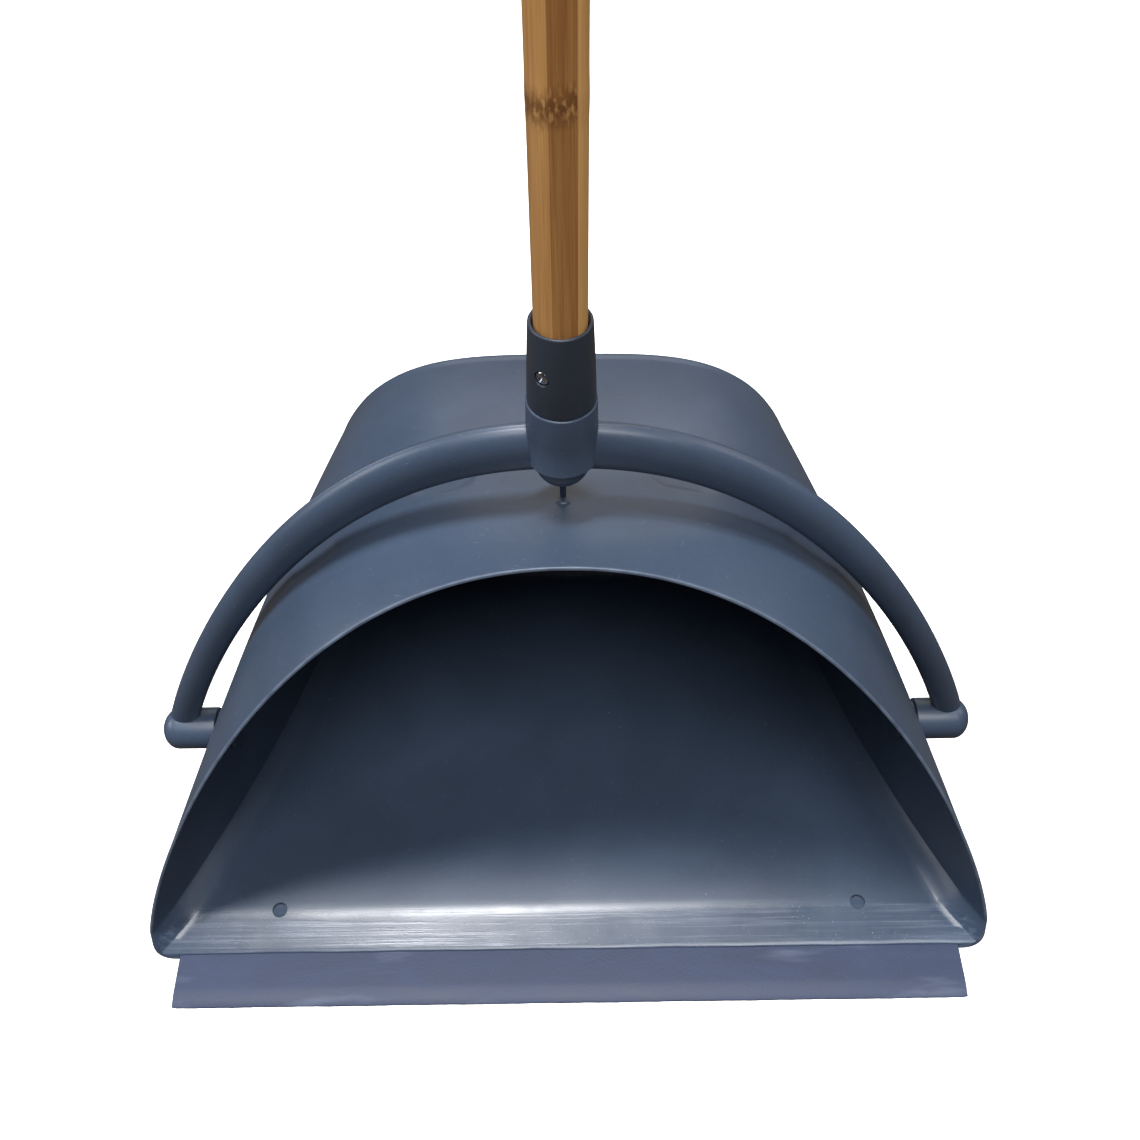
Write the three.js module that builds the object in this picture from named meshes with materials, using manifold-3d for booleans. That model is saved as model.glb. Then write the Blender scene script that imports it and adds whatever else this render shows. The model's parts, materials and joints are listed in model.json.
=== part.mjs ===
// A long-handled hooded dustpan: a moulded pan with a hood, a soft lip, an arched bail that
// turns on two studs of the pan, and a bamboo handle screwed into a ferrule on the bail.
// Millimetres, +Z up. Inside the assembly y = 0 is the bail's turning axis, the mouth faces -Y
// and z = 0 is the floor that the pan stands on.
import * as THREE from "three";
import { mergeVertices } from "three/addons/utils/BufferGeometryUtils.js";
import Module from "manifold-3d";

// Driving dimensions: pan and hood
const wall = 2.2; // moulded wall of the hood and the floor
const mouthHalfWidth = 164.5; // at the mouth's lower corners
const mouthReach = 69.6; // turning axis to the mouth's lower corners
const mouthHeight = 173.8; // side seam to the mouth's top
const mouthRake = 39; // the mouth's top leans back this far behind its corners
const backHalfWidth = 104.5;
const backHeight = 137;
const backReach = 109; // turning axis to where the back edge starts to round
const sideHollow = 6.6; // the sides bow inwards by this much, seen from above
const crownRise = 7; // the hood's ridge bows upwards by this much
const seamHeight = 12.2; // where the lower edge starts to round
const lowerRound = 6; // how far the rounded lower edge turns in
const backRound = 8; // radius of the edge between the hood and the back wall
const floorTop = 8;
const sillWall = 1.6; // plastic over the lip at the ramp's front edge
const mouthToe = 5.6; // below the seam the mouth's edge runs this far forward to the sill
const rampShare = 0.075; // share of the depth that the ramp takes
const floorFillet = 10; // where the floor meets the sides
const rampFillet = 1.5; // the same at the ramp's front edge
const ribCount = 3; // stiffening ribs under the floor, from front to back
const ribSpacing = 78;
const pocketFront = 12; // the pockets between the ribs start this far behind the ramp
const pocketBack = 6; // and end this far ahead of the back edge
const pocketSide = 16; // and this far inside the hood's sides
const mouthShape = { side: 2.11, top: 1.22 }; // powers of the mouth's arch
const backShape = { side: 3.57, top: 3.1 }; // powers of the back's arch
const dentLength = 27; // four shallow oval dents under the bail's arms
const dentWidth = 15;
const dentDepth = 0.9;
const upperDent = { spot: 0.25, setback: 18 }; // share of the half width, and mm behind the axis
const lowerDent = { spot: 0.53, setback: 4.5 };
const stepLength = 3; // the low step that the bail's fin stands against
const stepWidth = 5.2;
const stepRise = 1.2; // above the fin's foot

// Driving dimensions: lip
const lipWidth = 308.5;
const lipReach = 20; // how far the lip shows in front of the sill
const lipTuck = 14; // how far it runs under the sill
const lipThickness = 1.8;
const lipNose = 0.7; // thickness of its front edge
const lipBevel = 6;
const stakeRadius = 1.6; // pegs of the pan that hold the lip
const stakeCount = 5;
const stakeSpread = 0.8; // share of the lip's width from the first peg to the last

// Driving dimensions: bail and its turning axis
const axisHeight = 51.7;
const studRadius = 4.6;
const studLength = 14;
const collarRadius = 7.2;
const collarLength = 5.9;
const collarFlare = 1.5; // the collar widens by this much where it meets the hood
const bossWall = 3.4; // round the stud's bore
const bossLength = 22.2;
const bossNose = 2.3; // the boss ends this far outside the arm
const bossDome = 5;
const bossCrown = 3; // how far the dome turns in
const armRadius = 5.2; // beside the bosses
const armRootHeight = 9.1; // half the height of the arms beside the socket, where they are oval
const armTaper = 4.8; // power of the swelling from one to the other
const armRise = 26.3; // the arms' centre line runs this far over the hood's ridge
const archPower = { across: 0.895, up: 1.8 }; // 1 and 1 would be an ellipse
const finThickness = 2.1;
const finFront = -1.2; // its front edge ahead of the axis, or behind it if negative
const finBack = 7;
const finTravel = 25; // degrees that the bail leans back

// Driving dimensions: socket, ferrule, screw and handle
const spigotRadius = 7;
const spigotBore = 4.5; // the spigot is hollow
const socketWall = 3.6; // round the spigot, at the socket's rim
const socketFlare = 0.3; // its lower end is this much wider
const keelDepth = 11.3; // the narrower rounded end under the socket
const socketDrop = 3.8; // from the arms' centre line down to the socket's lower edge
const socketRise = 19.7; // from there up to its rim
const spigotLength = 18;
const ferruleWall = 1.25; // round the handle, at the ferrule's top
const ferruleHeight = 29.5;
const handleDiameter = 15.9;
const handleLength = 600;
const handleSeat = 4; // the handle stands this far above the ferrule's shoulder
const handleChamfer = 1.2;
const screwHeight = 14.5; // above the ferrule's shoulder
const screwAzimuth = 35; // degrees to the left of straight ahead
const screwHeadRadius = 2.2;
const screwHeadHeight = 1.3;
const screwCoreRadius = 1.05;
const screwThreadRadius = 1.45;
const screwLength = 10;
const screwPitch = 1.1;
const recessWidth = 0.56; // of the cross in its head

// Driving dimensions: end cap
const capWall = 1.7;
const capGrip = 28; // how far it runs down over the handle
const capTab = 34; // its hanging tab above the handle
const capTabThickness = 7;
const capShoulder = 6; // round length between the handle's end and the flat tab
const hangHoleRadius = 4.5;
const hangHoleRise = 17.6; // above the handle's end

// Clearances
const slide = 0.3; // between pieces that touch or turn
const reach = 5; // cutters stand this far out of what they cut
const breakEdge = 0.6; // small rounding of moulded edges

// Fineness
const archSteps = 36;
const cornerSteps = 3;
const depthSteps = 9;
const armSteps = 48;
const armSides = 14;
const turn = 36; // sides of a turned shape

const wasm = await Module();
wasm.setup();
const { lerp, degToRad } = THREE.MathUtils;

// --- shaping helpers -------------------------------------------------------------------------

// A closed three.js geometry as a solid that manifold-3d can join and cut.
function solid(geometry) {
  const bare = geometry.clone();
  bare.deleteAttribute("normal");
  bare.deleteAttribute("uv");
  const merged = mergeVertices(bare, 1e-4);
  const { array } = merged.getAttribute("position");
  const index = [];
  const corner = [new THREE.Vector3(), new THREE.Vector3(), new THREE.Vector3()];
  let volume = 0;
  for (let i = 0; i < merged.index.count; i += 3) {
    const [a, b, c] = merged.index.array.slice(i, i + 3);
    if (a === b || b === c || c === a) continue;
    index.push(a, b, c);
    [a, b, c].forEach((v, k) => corner[k].fromArray(array, 3 * v));
    volume += corner[0].dot(corner[1].cross(corner[2]));
  }
  if (volume < 0) index.reverse();
  return new wasm.Manifold(
    new wasm.Mesh({
      numProp: 3,
      vertProperties: new Float32Array(array),
      triVerts: new Uint32Array(index),
    }),
  );
}

// A named mesh from a solid.
function piece(name, body, finish) {
  const { vertProperties, triVerts } = body.getMesh();
  const geometry = new THREE.BufferGeometry();
  geometry.setAttribute("position", new THREE.BufferAttribute(new Float32Array(vertProperties), 3));
  geometry.setIndex(new THREE.BufferAttribute(new Uint32Array(triVerts), 1));
  geometry.computeVertexNormals();
  const mesh = new THREE.Mesh(geometry, new THREE.MeshStandardMaterial(finish));
  mesh.name = name;
  return mesh;
}

// A skin over closed rings with equal numbers of points, with a fan over each end.
function loft(rings) {
  const sides = rings[0].length;
  const points = rings.flat();
  const index = [];
  for (let r = 0; r + 1 < rings.length; r++) {
    for (let s = 0; s < sides; s++) {
      const a = r * sides + s;
      const b = r * sides + ((s + 1) % sides);
      index.push(a, b, a + sides, b, b + sides, a + sides);
    }
  }
  for (const [first, flip] of [[0, false], [(rings.length - 1) * sides, true]]) {
    const ring = points.slice(first, first + sides);
    const middle = ring.reduce((sum, p) => sum.add(p), new THREE.Vector3()).divideScalar(sides);
    const hub = points.push(middle) - 1;
    for (let s = 0; s < sides; s++) {
      const a = first + s;
      const b = first + ((s + 1) % sides);
      index.push(...(flip ? [a, b, hub] : [b, a, hub]));
    }
  }
  const geometry = new THREE.BufferGeometry().setFromPoints(points);
  geometry.setIndex(index);
  return solid(geometry);
}

// A turned shape about +Z from [radius, z] pairs that start and end on the axis.
function turned(profile, sides = turn) {
  const points = profile.map(([r, z]) => new THREE.Vector2(r, z));
  return solid(new THREE.LatheGeometry(points, sides).rotateX(Math.PI / 2));
}

// A plain disc or rod about +Z between two heights.
function rod(radius, low, high, sides = turn) {
  return turned([[0, low], [radius, low], [radius, high], [0, high]], sides);
}

// A block between two corners.
function block(low, high) {
  const size = new THREE.Vector3().subVectors(high, low);
  const middle = new THREE.Vector3().addVectors(low, high).multiplyScalar(0.5);
  return solid(new THREE.BoxGeometry(size.x, size.y, size.z).translate(...middle.toArray()));
}

// Moves a solid so that its own +Z looks along a direction, then to a place.
function aim(body, direction, place) {
  const quaternion = new THREE.Quaternion().setFromUnitVectors(
    new THREE.Vector3(0, 0, 1),
    direction.clone().normalize(),
  );
  const matrix = new THREE.Matrix4().compose(place, quaternion, new THREE.Vector3(1, 1, 1));
  return body.transform(matrix.toArray());
}

// A quarter circle of points from angle 0 to 90 degrees, ends left out.
function quarter(steps, make) {
  return Array.from({ length: steps }, (_, k) => make(((k + 0.5) / steps) * (Math.PI / 2)));
}

// --- the pan's shape -------------------------------------------------------------------------

// The hood's arch at a share of the depth: 0 is the mouth, 1 is the back.
function arch(share) {
  const bow = 4 * share * (1 - share);
  return {
    half: lerp(mouthHalfWidth, backHalfWidth, share) - sideHollow * bow,
    height: lerp(mouthHeight, backHeight, share) + crownRise * bow,
    side: lerp(mouthShape.side, backShape.side, share),
    top: lerp(mouthShape.top, backShape.top, share),
    front: lerp(-mouthReach, backReach, share),
    rake: lerp(mouthRake, 0, share),
  };
}

// A point of the arch, with its angle going from the left foot over the top to the right foot.
function archPoint(share, angle, inset = 0) {
  const { half, height, side, top, front, rake } = arch(share);
  const across = Math.cos(angle);
  const up = Math.max(Math.sin(angle), 0);
  const x = -(half - inset) * Math.sign(across) * Math.abs(across) ** (2 / side);
  const rise = (height - inset) * up ** (2 / top);
  return new THREE.Vector3(x, front + (rake * rise) / height, seamHeight + rise);
}

// One closed ring of the pan: the arch, and rounded lower edges down to a flat base.
function panRing(share, { inset = 0, base = 0, fillet = lowerRound, shift = 0 }) {
  const { half, front } = arch(share);
  const ring = Array.from({ length: archSteps + 1 }, (_, k) =>
    archPoint(share, (Math.PI * k) / archSteps, inset),
  );
  const drop = seamHeight - base;
  const edge = half - inset;
  const lower = (angle, sign) =>
    new THREE.Vector3(
      sign * (edge - fillet * (1 - Math.cos(angle))),
      front,
      seamHeight - drop * Math.sin(angle),
    );
  ring.push(...quarter(cornerSteps, (a) => lower(a, 1)));
  ring.push(lower(Math.PI / 2, 1), lower(Math.PI / 2, -1));
  ring.push(...quarter(cornerSteps, (a) => lower(a, -1)).reverse());
  for (const p of ring) {
    if (p.z < seamHeight) p.y = front - lerp(mouthToe, 0, share) * (1 - p.z / seamHeight);
    p.y += shift;
  }
  return ring;
}

// The rings that round the back edge off, at a distance inside the outer surface.
function backRings(inset, base, fillet) {
  const radius = backRound - inset;
  return [30, 60, 90].map((degrees) => {
    const angle = degToRad(degrees);
    const shrink = radius * (1 - Math.cos(angle));
    return panRing(1, {
      inset: inset + shrink,
      base: base + shrink,
      fillet,
      shift: radius * Math.sin(angle),
    });
  });
}

// The outer shape, filled.
function panOutside() {
  const rings = [];
  for (let k = 0; k <= depthSteps; k++) rings.push(panRing(k / depthSteps, {}));
  return loft([...rings, ...backRings(0, 0, lowerRound)]);
}

// The space inside the hood, with the ramp at its front.
function panInside() {
  const rampDrop = (share) => Math.max(0, 1 - share / rampShare);
  const at = (share, shift = 0) =>
    panRing(share, {
      inset: wall,
      base: floorTop - (floorTop - sillTop) * rampDrop(share),
      fillet: lerp(floorFillet, rampFillet, Math.min(rampDrop(share), 1)),
      shift,
    });
  const ahead = at(0, -reach);
  const slope = (floorTop - sillTop) / (rampShare * (mouthReach + backReach));
  ahead.forEach((p) => (p.z -= p.z < seamHeight - 1 ? slope * reach : 0));
  const rings = [ahead, at(0), at(rampShare)];
  for (let k = 1; k <= depthSteps; k++) rings.push(at(lerp(rampShare, 1, k / depthSteps)));
  return loft([...rings, ...backRings(wall, floorTop, floorFillet)]);
}

// The share of the depth at which the hood's surface at an angle of the arch crosses a plane y.
function shareAt(y, angle) {
  let near = 0;
  let far = 1;
  for (let k = 0; k < 40; k++) {
    const middle = (near + far) / 2;
    if (archPoint(middle, angle).y < y) near = middle;
    else far = middle;
  }
  return near;
}

// The hood's surface point in a plane y where a test of the point turns false, from the top down.
function hoodPoint(y, higher) {
  let low = 0;
  let high = Math.PI / 2;
  for (let k = 0; k < 40; k++) {
    const angle = (low + high) / 2;
    if (higher(archPoint(shareAt(y, angle), angle))) high = angle;
    else low = angle;
  }
  return archPoint(shareAt(y, high), high);
}

const sillTop = lipThickness + slide + sillWall; // height of the ramp's front edge
const studSeat = -hoodPoint(0, (p) => p.z > axisHeight).x; // the hood's half width at the axis
const ridge = archPoint(shareAt(0, Math.PI / 2), Math.PI / 2).z; // its height over the axis
const studTip = studSeat + collarLength + studLength;
const bossRadius = studRadius + slide + bossWall;
const bossInside = studSeat + collarLength + slide; // where the bosses begin
const bossOutside = bossInside + bossLength;
const armReach = bossOutside - bossNose - armRadius; // the arms' centre line beside the bosses
const armTop = ridge + armRise;
const socketBase = armTop - socketDrop;
const socketRim = socketBase + socketDrop + socketRise;
const shoulder = socketRim + slide; // the ferrule's lower edge
const handleBottom = shoulder + handleSeat;
const handleRadius = handleDiameter / 2;
const ferruleTopRadius = handleRadius + slide + ferruleWall;
const socketTopRadius = spigotRadius + slide + socketWall;
const socketRadius = socketTopRadius + socketFlare;
const handleTop = handleBottom + handleLength;
const spigotEnd = shoulder - spigotLength;
const sillFront = -mouthReach - mouthToe; // the sill's front face

const plastic = { color: 0x465468, roughness: 0.5, metalness: 0 };

// --- pan -------------------------------------------------------------------------------------

// The solid bar under the ramp, with a rebate for the lip and pegs that hold it.
function sill() {
  const half = mouthHalfWidth - lowerRound - 1;
  const back = sillFront + lipTuck + 2 * slide;
  return block(
    new THREE.Vector3(-half, sillFront, lipThickness + slide),
    new THREE.Vector3(half, back, sillTop - slide / 6),
  );
}

// Where the pegs stand along the lip.
function stakePlaces() {
  const pitch = (lipWidth * stakeSpread) / (stakeCount - 1);
  const y = sillFront + lipTuck / 2;
  return Array.from(
    { length: stakeCount },
    (_, k) => new THREE.Vector3((k - (stakeCount - 1) / 2) * pitch, y, 0),
  );
}

// Pockets under the floor between stiffening ribs.
function underPockets() {
  const depth = mouthReach + backReach;
  const front = -mouthReach + rampShare * depth + pocketFront;
  const back = backReach - pocketBack;
  const middle = (front + back) / 2;
  const roof = floorTop - wall;
  const halfAt = (y) => arch((y + mouthReach) / depth).half - pocketSide;
  const outline = new THREE.Shape();
  outline.moveTo(-halfAt(front), front);
  for (const y of [front, middle, back]) outline.lineTo(halfAt(y), y);
  for (const y of [back, middle]) outline.lineTo(-halfAt(y), y);
  outline.closePath();
  const extrude = { depth: roof + reach, bevelEnabled: false };
  let pockets = solid(new THREE.ExtrudeGeometry(outline, extrude).translate(0, 0, -reach));
  const rib = (low, high) =>
    block(new THREE.Vector3(...low, -2 * reach), new THREE.Vector3(...high, roof + 1));
  for (let k = 0; k < ribCount; k++) {
    const x = (k - (ribCount - 1) / 2) * ribSpacing;
    pockets = pockets.subtract(rib([x - wall / 2, front - 1], [x + wall / 2, back + 1]));
  }
  const cross = [mouthHalfWidth, middle + wall / 2];
  return pockets.subtract(rib([-mouthHalfWidth, middle - wall / 2], cross));
}

// A stud with its collar, standing out of the hood's side; side is -1 on the left, 1 on the right.
function stud(side) {
  const root = studSeat - wall;
  const shape = turned([
    [0, root],
    [collarRadius + collarFlare, root],
    [collarRadius, studSeat + collarFlare],
    [collarRadius, studSeat + collarLength],
    [studRadius, studSeat + collarLength],
    [studRadius, studTip - breakEdge],
    [studRadius - breakEdge, studTip],
    [0, studTip],
  ]);
  return aim(shape, new THREE.Vector3(side, 0, 0), new THREE.Vector3(0, 0, axisHeight));
}

// A shallow oval dent in the hood under the bail's arm, with a flat bottom along the surface.
function dent(side, { spot, setback }) {
  const surface = (across, back) => {
    const point = hoodPoint(setback + back, (p) => p.x > across - spot * mouthHalfWidth);
    return point.setX(-side * point.x);
  };
  const on = surface(0, 0);
  const along = on.clone().sub(surface(1, 0)).multiplyScalar(side).normalize();
  const out = new THREE.Vector3().crossVectors(along, surface(0, 1).sub(on)).normalize();
  const back = new THREE.Vector3().crossVectors(out, along);
  const outline = new THREE.Shape();
  const run = (dentLength - dentWidth) / 2;
  outline.absarc(run, 0, dentWidth / 2, -Math.PI / 2, Math.PI / 2);
  outline.absarc(-run, 0, dentWidth / 2, Math.PI / 2, (3 * Math.PI) / 2);
  outline.closePath();
  const cutter = new THREE.ExtrudeGeometry(outline, {
    depth: dentDepth + reach,
    bevelEnabled: false,
    curveSegments: 10,
  });
  cutter.translate(0, 0, -dentDepth);
  const place = new THREE.Matrix4().makeBasis(along, back, out).setPosition(on);
  return solid(cutter.applyMatrix4(place));
}

// A low step on the hood's ridge that the bail's fin stands against.
function finStep() {
  const back = -finFront - slide;
  return block(
    new THREE.Vector3(-stepWidth / 2, back - stepLength, ridge - wall / 2),
    new THREE.Vector3(stepWidth / 2, back, finFoot() + stepRise),
  );
}

function panShell() {
  let body = panOutside().subtract(panInside());
  for (const side of [-1, 1]) {
    body = body.add(stud(side));
    body = body.subtract(dent(side, upperDent)).subtract(dent(side, lowerDent));
  }
  body = body.add(finStep()).add(sill());
  body = body.subtract(underPockets());
  body = body.subtract(
    block(
      new THREE.Vector3(-lipWidth / 2 - slide, sillFront - reach, -reach),
      new THREE.Vector3(lipWidth / 2 + slide, sillFront + lipTuck + slide, lipThickness + slide),
    ),
  );
  for (const place of stakePlaces()) {
    const stake = rod(stakeRadius, slide, lipThickness + slide + sillWall / 2, 16);
    body = body.add(stake.translate(place.toArray()));
  }
  return piece("pan_shell", body, plastic);
}

// --- lip -------------------------------------------------------------------------------------

function softLip() {
  const section = new THREE.Shape();
  const back = sillFront + lipTuck;
  const nose = sillFront - lipReach;
  section.moveTo(back, 0);
  section.lineTo(back, lipThickness);
  section.lineTo(nose + lipBevel, lipThickness);
  section.lineTo(nose, lipNose);
  section.lineTo(nose, 0);
  section.closePath();
  const strip = new THREE.ExtrudeGeometry(section, { depth: lipWidth, bevelEnabled: false });
  const axes = new THREE.Matrix4().makeBasis(
    new THREE.Vector3(0, 1, 0),
    new THREE.Vector3(0, 0, 1),
    new THREE.Vector3(1, 0, 0),
  );
  let body = solid(strip.applyMatrix4(axes).translate(-lipWidth / 2, 0, 0));
  for (const place of stakePlaces()) {
    const hole = rod(stakeRadius + slide, -reach, lipThickness + reach, 16);
    body = body.subtract(hole.translate(place.toArray()));
  }
  return piece("soft_lip", body, { color: 0x626e84, roughness: 0.6, metalness: 0 });
}

// --- bail ------------------------------------------------------------------------------------

// The arms' centre line: an arch over the hood from boss to boss.
function armPoint(angle) {
  const across = Math.cos(angle);
  const up = Math.max(Math.sin(angle), 0);
  return new THREE.Vector3(
    -armReach * Math.sign(across) * Math.abs(across) ** archPower.across,
    0,
    axisHeight + (armTop - axisHeight) * up ** archPower.up,
  );
}

function arms() {
  const rings = [];
  for (let k = 0; k <= armSteps; k++) {
    const angle = (Math.PI * k) / armSteps;
    const middle = armPoint(angle);
    const along = armPoint(Math.min(angle + 0.02, Math.PI)).sub(armPoint(Math.max(angle - 0.02, 0)));
    along.normalize();
    const out = new THREE.Vector3(-along.z, 0, along.x);
    const tall = lerp(armRadius, armRootHeight, Math.sin(angle) ** armTaper);
    rings.push(
      Array.from({ length: armSides }, (_, s) => {
        const around = (2 * Math.PI * s) / armSides;
        return middle
          .clone()
          .addScaledVector(out, tall * Math.cos(around))
          .add(new THREE.Vector3(0, armRadius * Math.sin(around), 0));
      }),
    );
  }
  return loft(rings);
}

// A boss with a domed end and a blind bore for the stud.
function boss(side) {
  const dome = [30, 60].map((degrees) => [
    bossRadius - bossCrown * (1 - Math.cos(degToRad(degrees))),
    bossOutside - bossDome + bossDome * Math.sin(degToRad(degrees)),
  ]);
  const shape = turned([
    [0, bossInside],
    [bossRadius - breakEdge, bossInside],
    [bossRadius, bossInside + breakEdge],
    [bossRadius, bossOutside - bossDome],
    ...dome,
    [bossRadius - 1.5 * bossCrown, bossOutside],
    [0, bossOutside],
  ]);
  return aim(shape, new THREE.Vector3(side, 0, 0), new THREE.Vector3(0, 0, axisHeight));
}

function boreOf(side) {
  const shape = rod(studRadius + slide, bossInside - reach, studTip + slide);
  return aim(shape, new THREE.Vector3(side, 0, 0), new THREE.Vector3(0, 0, axisHeight));
}

// The cup that takes the ferrule's spigot, with a narrower rounded keel under it.
function socket() {
  const keel = socketRadius - 2;
  const rounded = [0, 22, 45, 68].map((degrees) => [
    keel * Math.sin(degToRad(degrees)),
    socketBase - 1 - (keelDepth - 1) * Math.cos(degToRad(degrees)),
  ]);
  return turned([
    ...rounded,
    [keel, socketBase],
    [socketRadius - breakEdge, socketBase],
    [socketRadius, socketBase + breakEdge],
    [socketTopRadius, socketRim - breakEdge],
    [socketTopRadius - breakEdge, socketRim],
    [0, socketRim],
  ]);
}

// The thin fin under the socket that stands on the hood's ridge.
function fin() {
  return block(
    new THREE.Vector3(-finThickness / 2, -finFront, finFoot()),
    new THREE.Vector3(finThickness / 2, finBack, socketBase),
  );
}

// The fin's lower edge clears the hood all the way back.
function finFoot() {
  let clear = 0;
  const steps = 24;
  for (let k = 0; k <= steps; k++) {
    const lean = degToRad((finTravel * k) / steps);
    for (const y of [-finFront, finBack / 2, finBack]) {
      const over = ridgeHeightOver(lean, y);
      clear = Math.max(clear, over);
    }
  }
  return axisHeight + clear + slide;
}

// How high over the axis a fin of no clearance would have to end at y to touch the leaning hood.
function ridgeHeightOver(lean, y) {
  let low = 0;
  let high = 2 * mouthHeight;
  for (let k = 0; k < 40; k++) {
    const middle = (low + high) / 2;
    const backwards = y * Math.cos(lean) + middle * Math.sin(lean);
    const upwards = -y * Math.sin(lean) + middle * Math.cos(lean);
    const share = shareAt(backwards, Math.PI / 2);
    if (axisHeight + upwards > archPoint(share, Math.PI / 2).z) high = middle;
    else low = middle;
  }
  return high;
}

function bail() {
  let body = arms().add(socket()).add(boss(-1)).add(boss(1)).add(fin());
  body = body.subtract(boreOf(-1)).subtract(boreOf(1));
  body = body.subtract(rod(spigotRadius + slide, spigotEnd - slide, socketRim + reach));
  return piece("bail", body, plastic);
}

// --- ferrule, screw, handle and cap ----------------------------------------------------------

const screwAway = new THREE.Vector3(
  -Math.sin(degToRad(screwAzimuth)),
  -Math.cos(degToRad(screwAzimuth)),
  0,
);
const screwLevel = shoulder + screwHeight;

// The ferrule's outer radius at a height over its shoulder.
function ferruleRadius(height) {
  return lerp(socketTopRadius, ferruleTopRadius, height / ferruleHeight);
}

// A cutter along the screw's axis between two distances from the handle's middle.
function screwBore(radius, from, to) {
  return aim(rod(radius, from, to, 20), screwAway, new THREE.Vector3(0, 0, screwLevel));
}

function ferrule() {
  const top = shoulder + ferruleHeight;
  const web = handleSeat / 2; // between the two bores
  let body = turned([
    [0, spigotEnd],
    [spigotRadius - breakEdge, spigotEnd],
    [spigotRadius, spigotEnd + 2],
    [spigotRadius, shoulder],
    [socketTopRadius - breakEdge, shoulder],
    [socketTopRadius, shoulder + breakEdge],
    [ferruleTopRadius, top - breakEdge],
    [ferruleTopRadius - breakEdge, top],
    [0, top],
  ]);
  body = body.subtract(rod(handleRadius + slide, handleBottom - slide, top + reach));
  body = body.subtract(rod(spigotBore, spigotEnd - reach, shoulder + web));
  const seat = ferruleRadius(screwHeight) - screwHeadHeight - slide;
  body = body.subtract(screwBore(screwHeadRadius + slide, seat, seat + reach));
  body = body.subtract(screwBore(screwThreadRadius + slide, 0, seat + reach));
  return piece("handle_ferrule", body, { ...plastic, color: 0x3b4555 });
}

function screw() {
  const seat = ferruleRadius(screwHeight) - screwHeadHeight;
  const threads = [];
  for (let z = seat - screwLength + 2; z < seat - screwPitch; z += screwPitch) {
    threads.push([screwCoreRadius, z], [screwThreadRadius, z + screwPitch / 2]);
  }
  let body = turned(
    [
      [0, seat - screwLength],
      ...threads,
      [screwCoreRadius, seat],
      [screwHeadRadius, seat],
      [screwHeadRadius, seat + screwHeadHeight * 0.45],
      [screwHeadRadius * 0.75, seat + screwHeadHeight * 0.85],
      [0, seat + screwHeadHeight],
    ],
    24,
  );
  const arm = screwHeadRadius * 0.62; // the cross reaches this far from the middle
  for (const [x, y] of [[arm, recessWidth / 2], [recessWidth / 2, arm]]) {
    body = body.subtract(
      block(
        new THREE.Vector3(-x, -y, seat + screwHeadHeight * 0.4),
        new THREE.Vector3(x, y, seat + reach),
      ),
    );
  }
  body = aim(body, screwAway, new THREE.Vector3(0, 0, screwLevel));
  return piece("ferrule_screw", body, { color: 0xc9ccd0, roughness: 0.25, metalness: 1 });
}

function handle() {
  const rounded = handleRadius - handleChamfer;
  let body = turned([
    [0, handleBottom],
    [rounded, handleBottom],
    [handleRadius, handleBottom + handleChamfer],
    [handleRadius, handleTop - handleChamfer],
    [rounded, handleTop],
    [0, handleTop],
  ]);
  const tip = ferruleRadius(screwHeight) - screwHeadHeight - screwLength - slide;
  body = body.subtract(screwBore(screwThreadRadius + slide, tip, handleRadius + reach));
  return piece("bamboo_handle", body, { color: 0x9a6c3a, roughness: 0.35, metalness: 0 });
}

// The cap over the handle's end, with a flat tab and a hole to hang it by.
function endCap() {
  const bore = handleRadius + slide;
  const outer = bore + capWall;
  const low = handleTop - capGrip;
  const high = handleTop + capTab;
  let body = turned([
    [0, low],
    [outer - breakEdge, low],
    [outer, low + breakEdge],
    ...[0, 20, 40, 60, 75].map((degrees) => [
      (outer - slide) * Math.cos(degToRad(degrees)),
      handleTop + capTab * Math.sin(degToRad(degrees)),
    ]),
    [0, high],
  ]);
  body = body.subtract(rod(bore, low - reach, handleTop + slide));
  const flat = handleTop + capShoulder;
  for (const [front, back] of [[-2 * outer, -capTabThickness / 2], [capTabThickness / 2, 2 * outer]]) {
    const low = new THREE.Vector3(-2 * outer, front, flat);
    body = body.subtract(block(low, new THREE.Vector3(2 * outer, back, high + reach)));
  }
  const hole = aim(
    rod(hangHoleRadius, -2 * outer, 2 * outer, 24),
    new THREE.Vector3(0, 1, 0),
    new THREE.Vector3(0, 0, handleTop + hangHoleRise),
  );
  return piece("end_cap", body.subtract(hole), plastic);
}

// --- assembly --------------------------------------------------------------------------------

const part = new THREE.Group();
const assembly = new THREE.Group();
assembly.add(panShell(), softLip(), bail(), ferrule(), screw(), handle(), endCap());
assembly.position.y = -(sillFront - lipReach + backReach + backRound) / 2; // middle of the depth
part.add(assembly);

export default part;
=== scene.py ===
# A long-handled dustpan: moulded pan with a hood, soft lip, tilting bail and bamboo handle.

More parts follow.
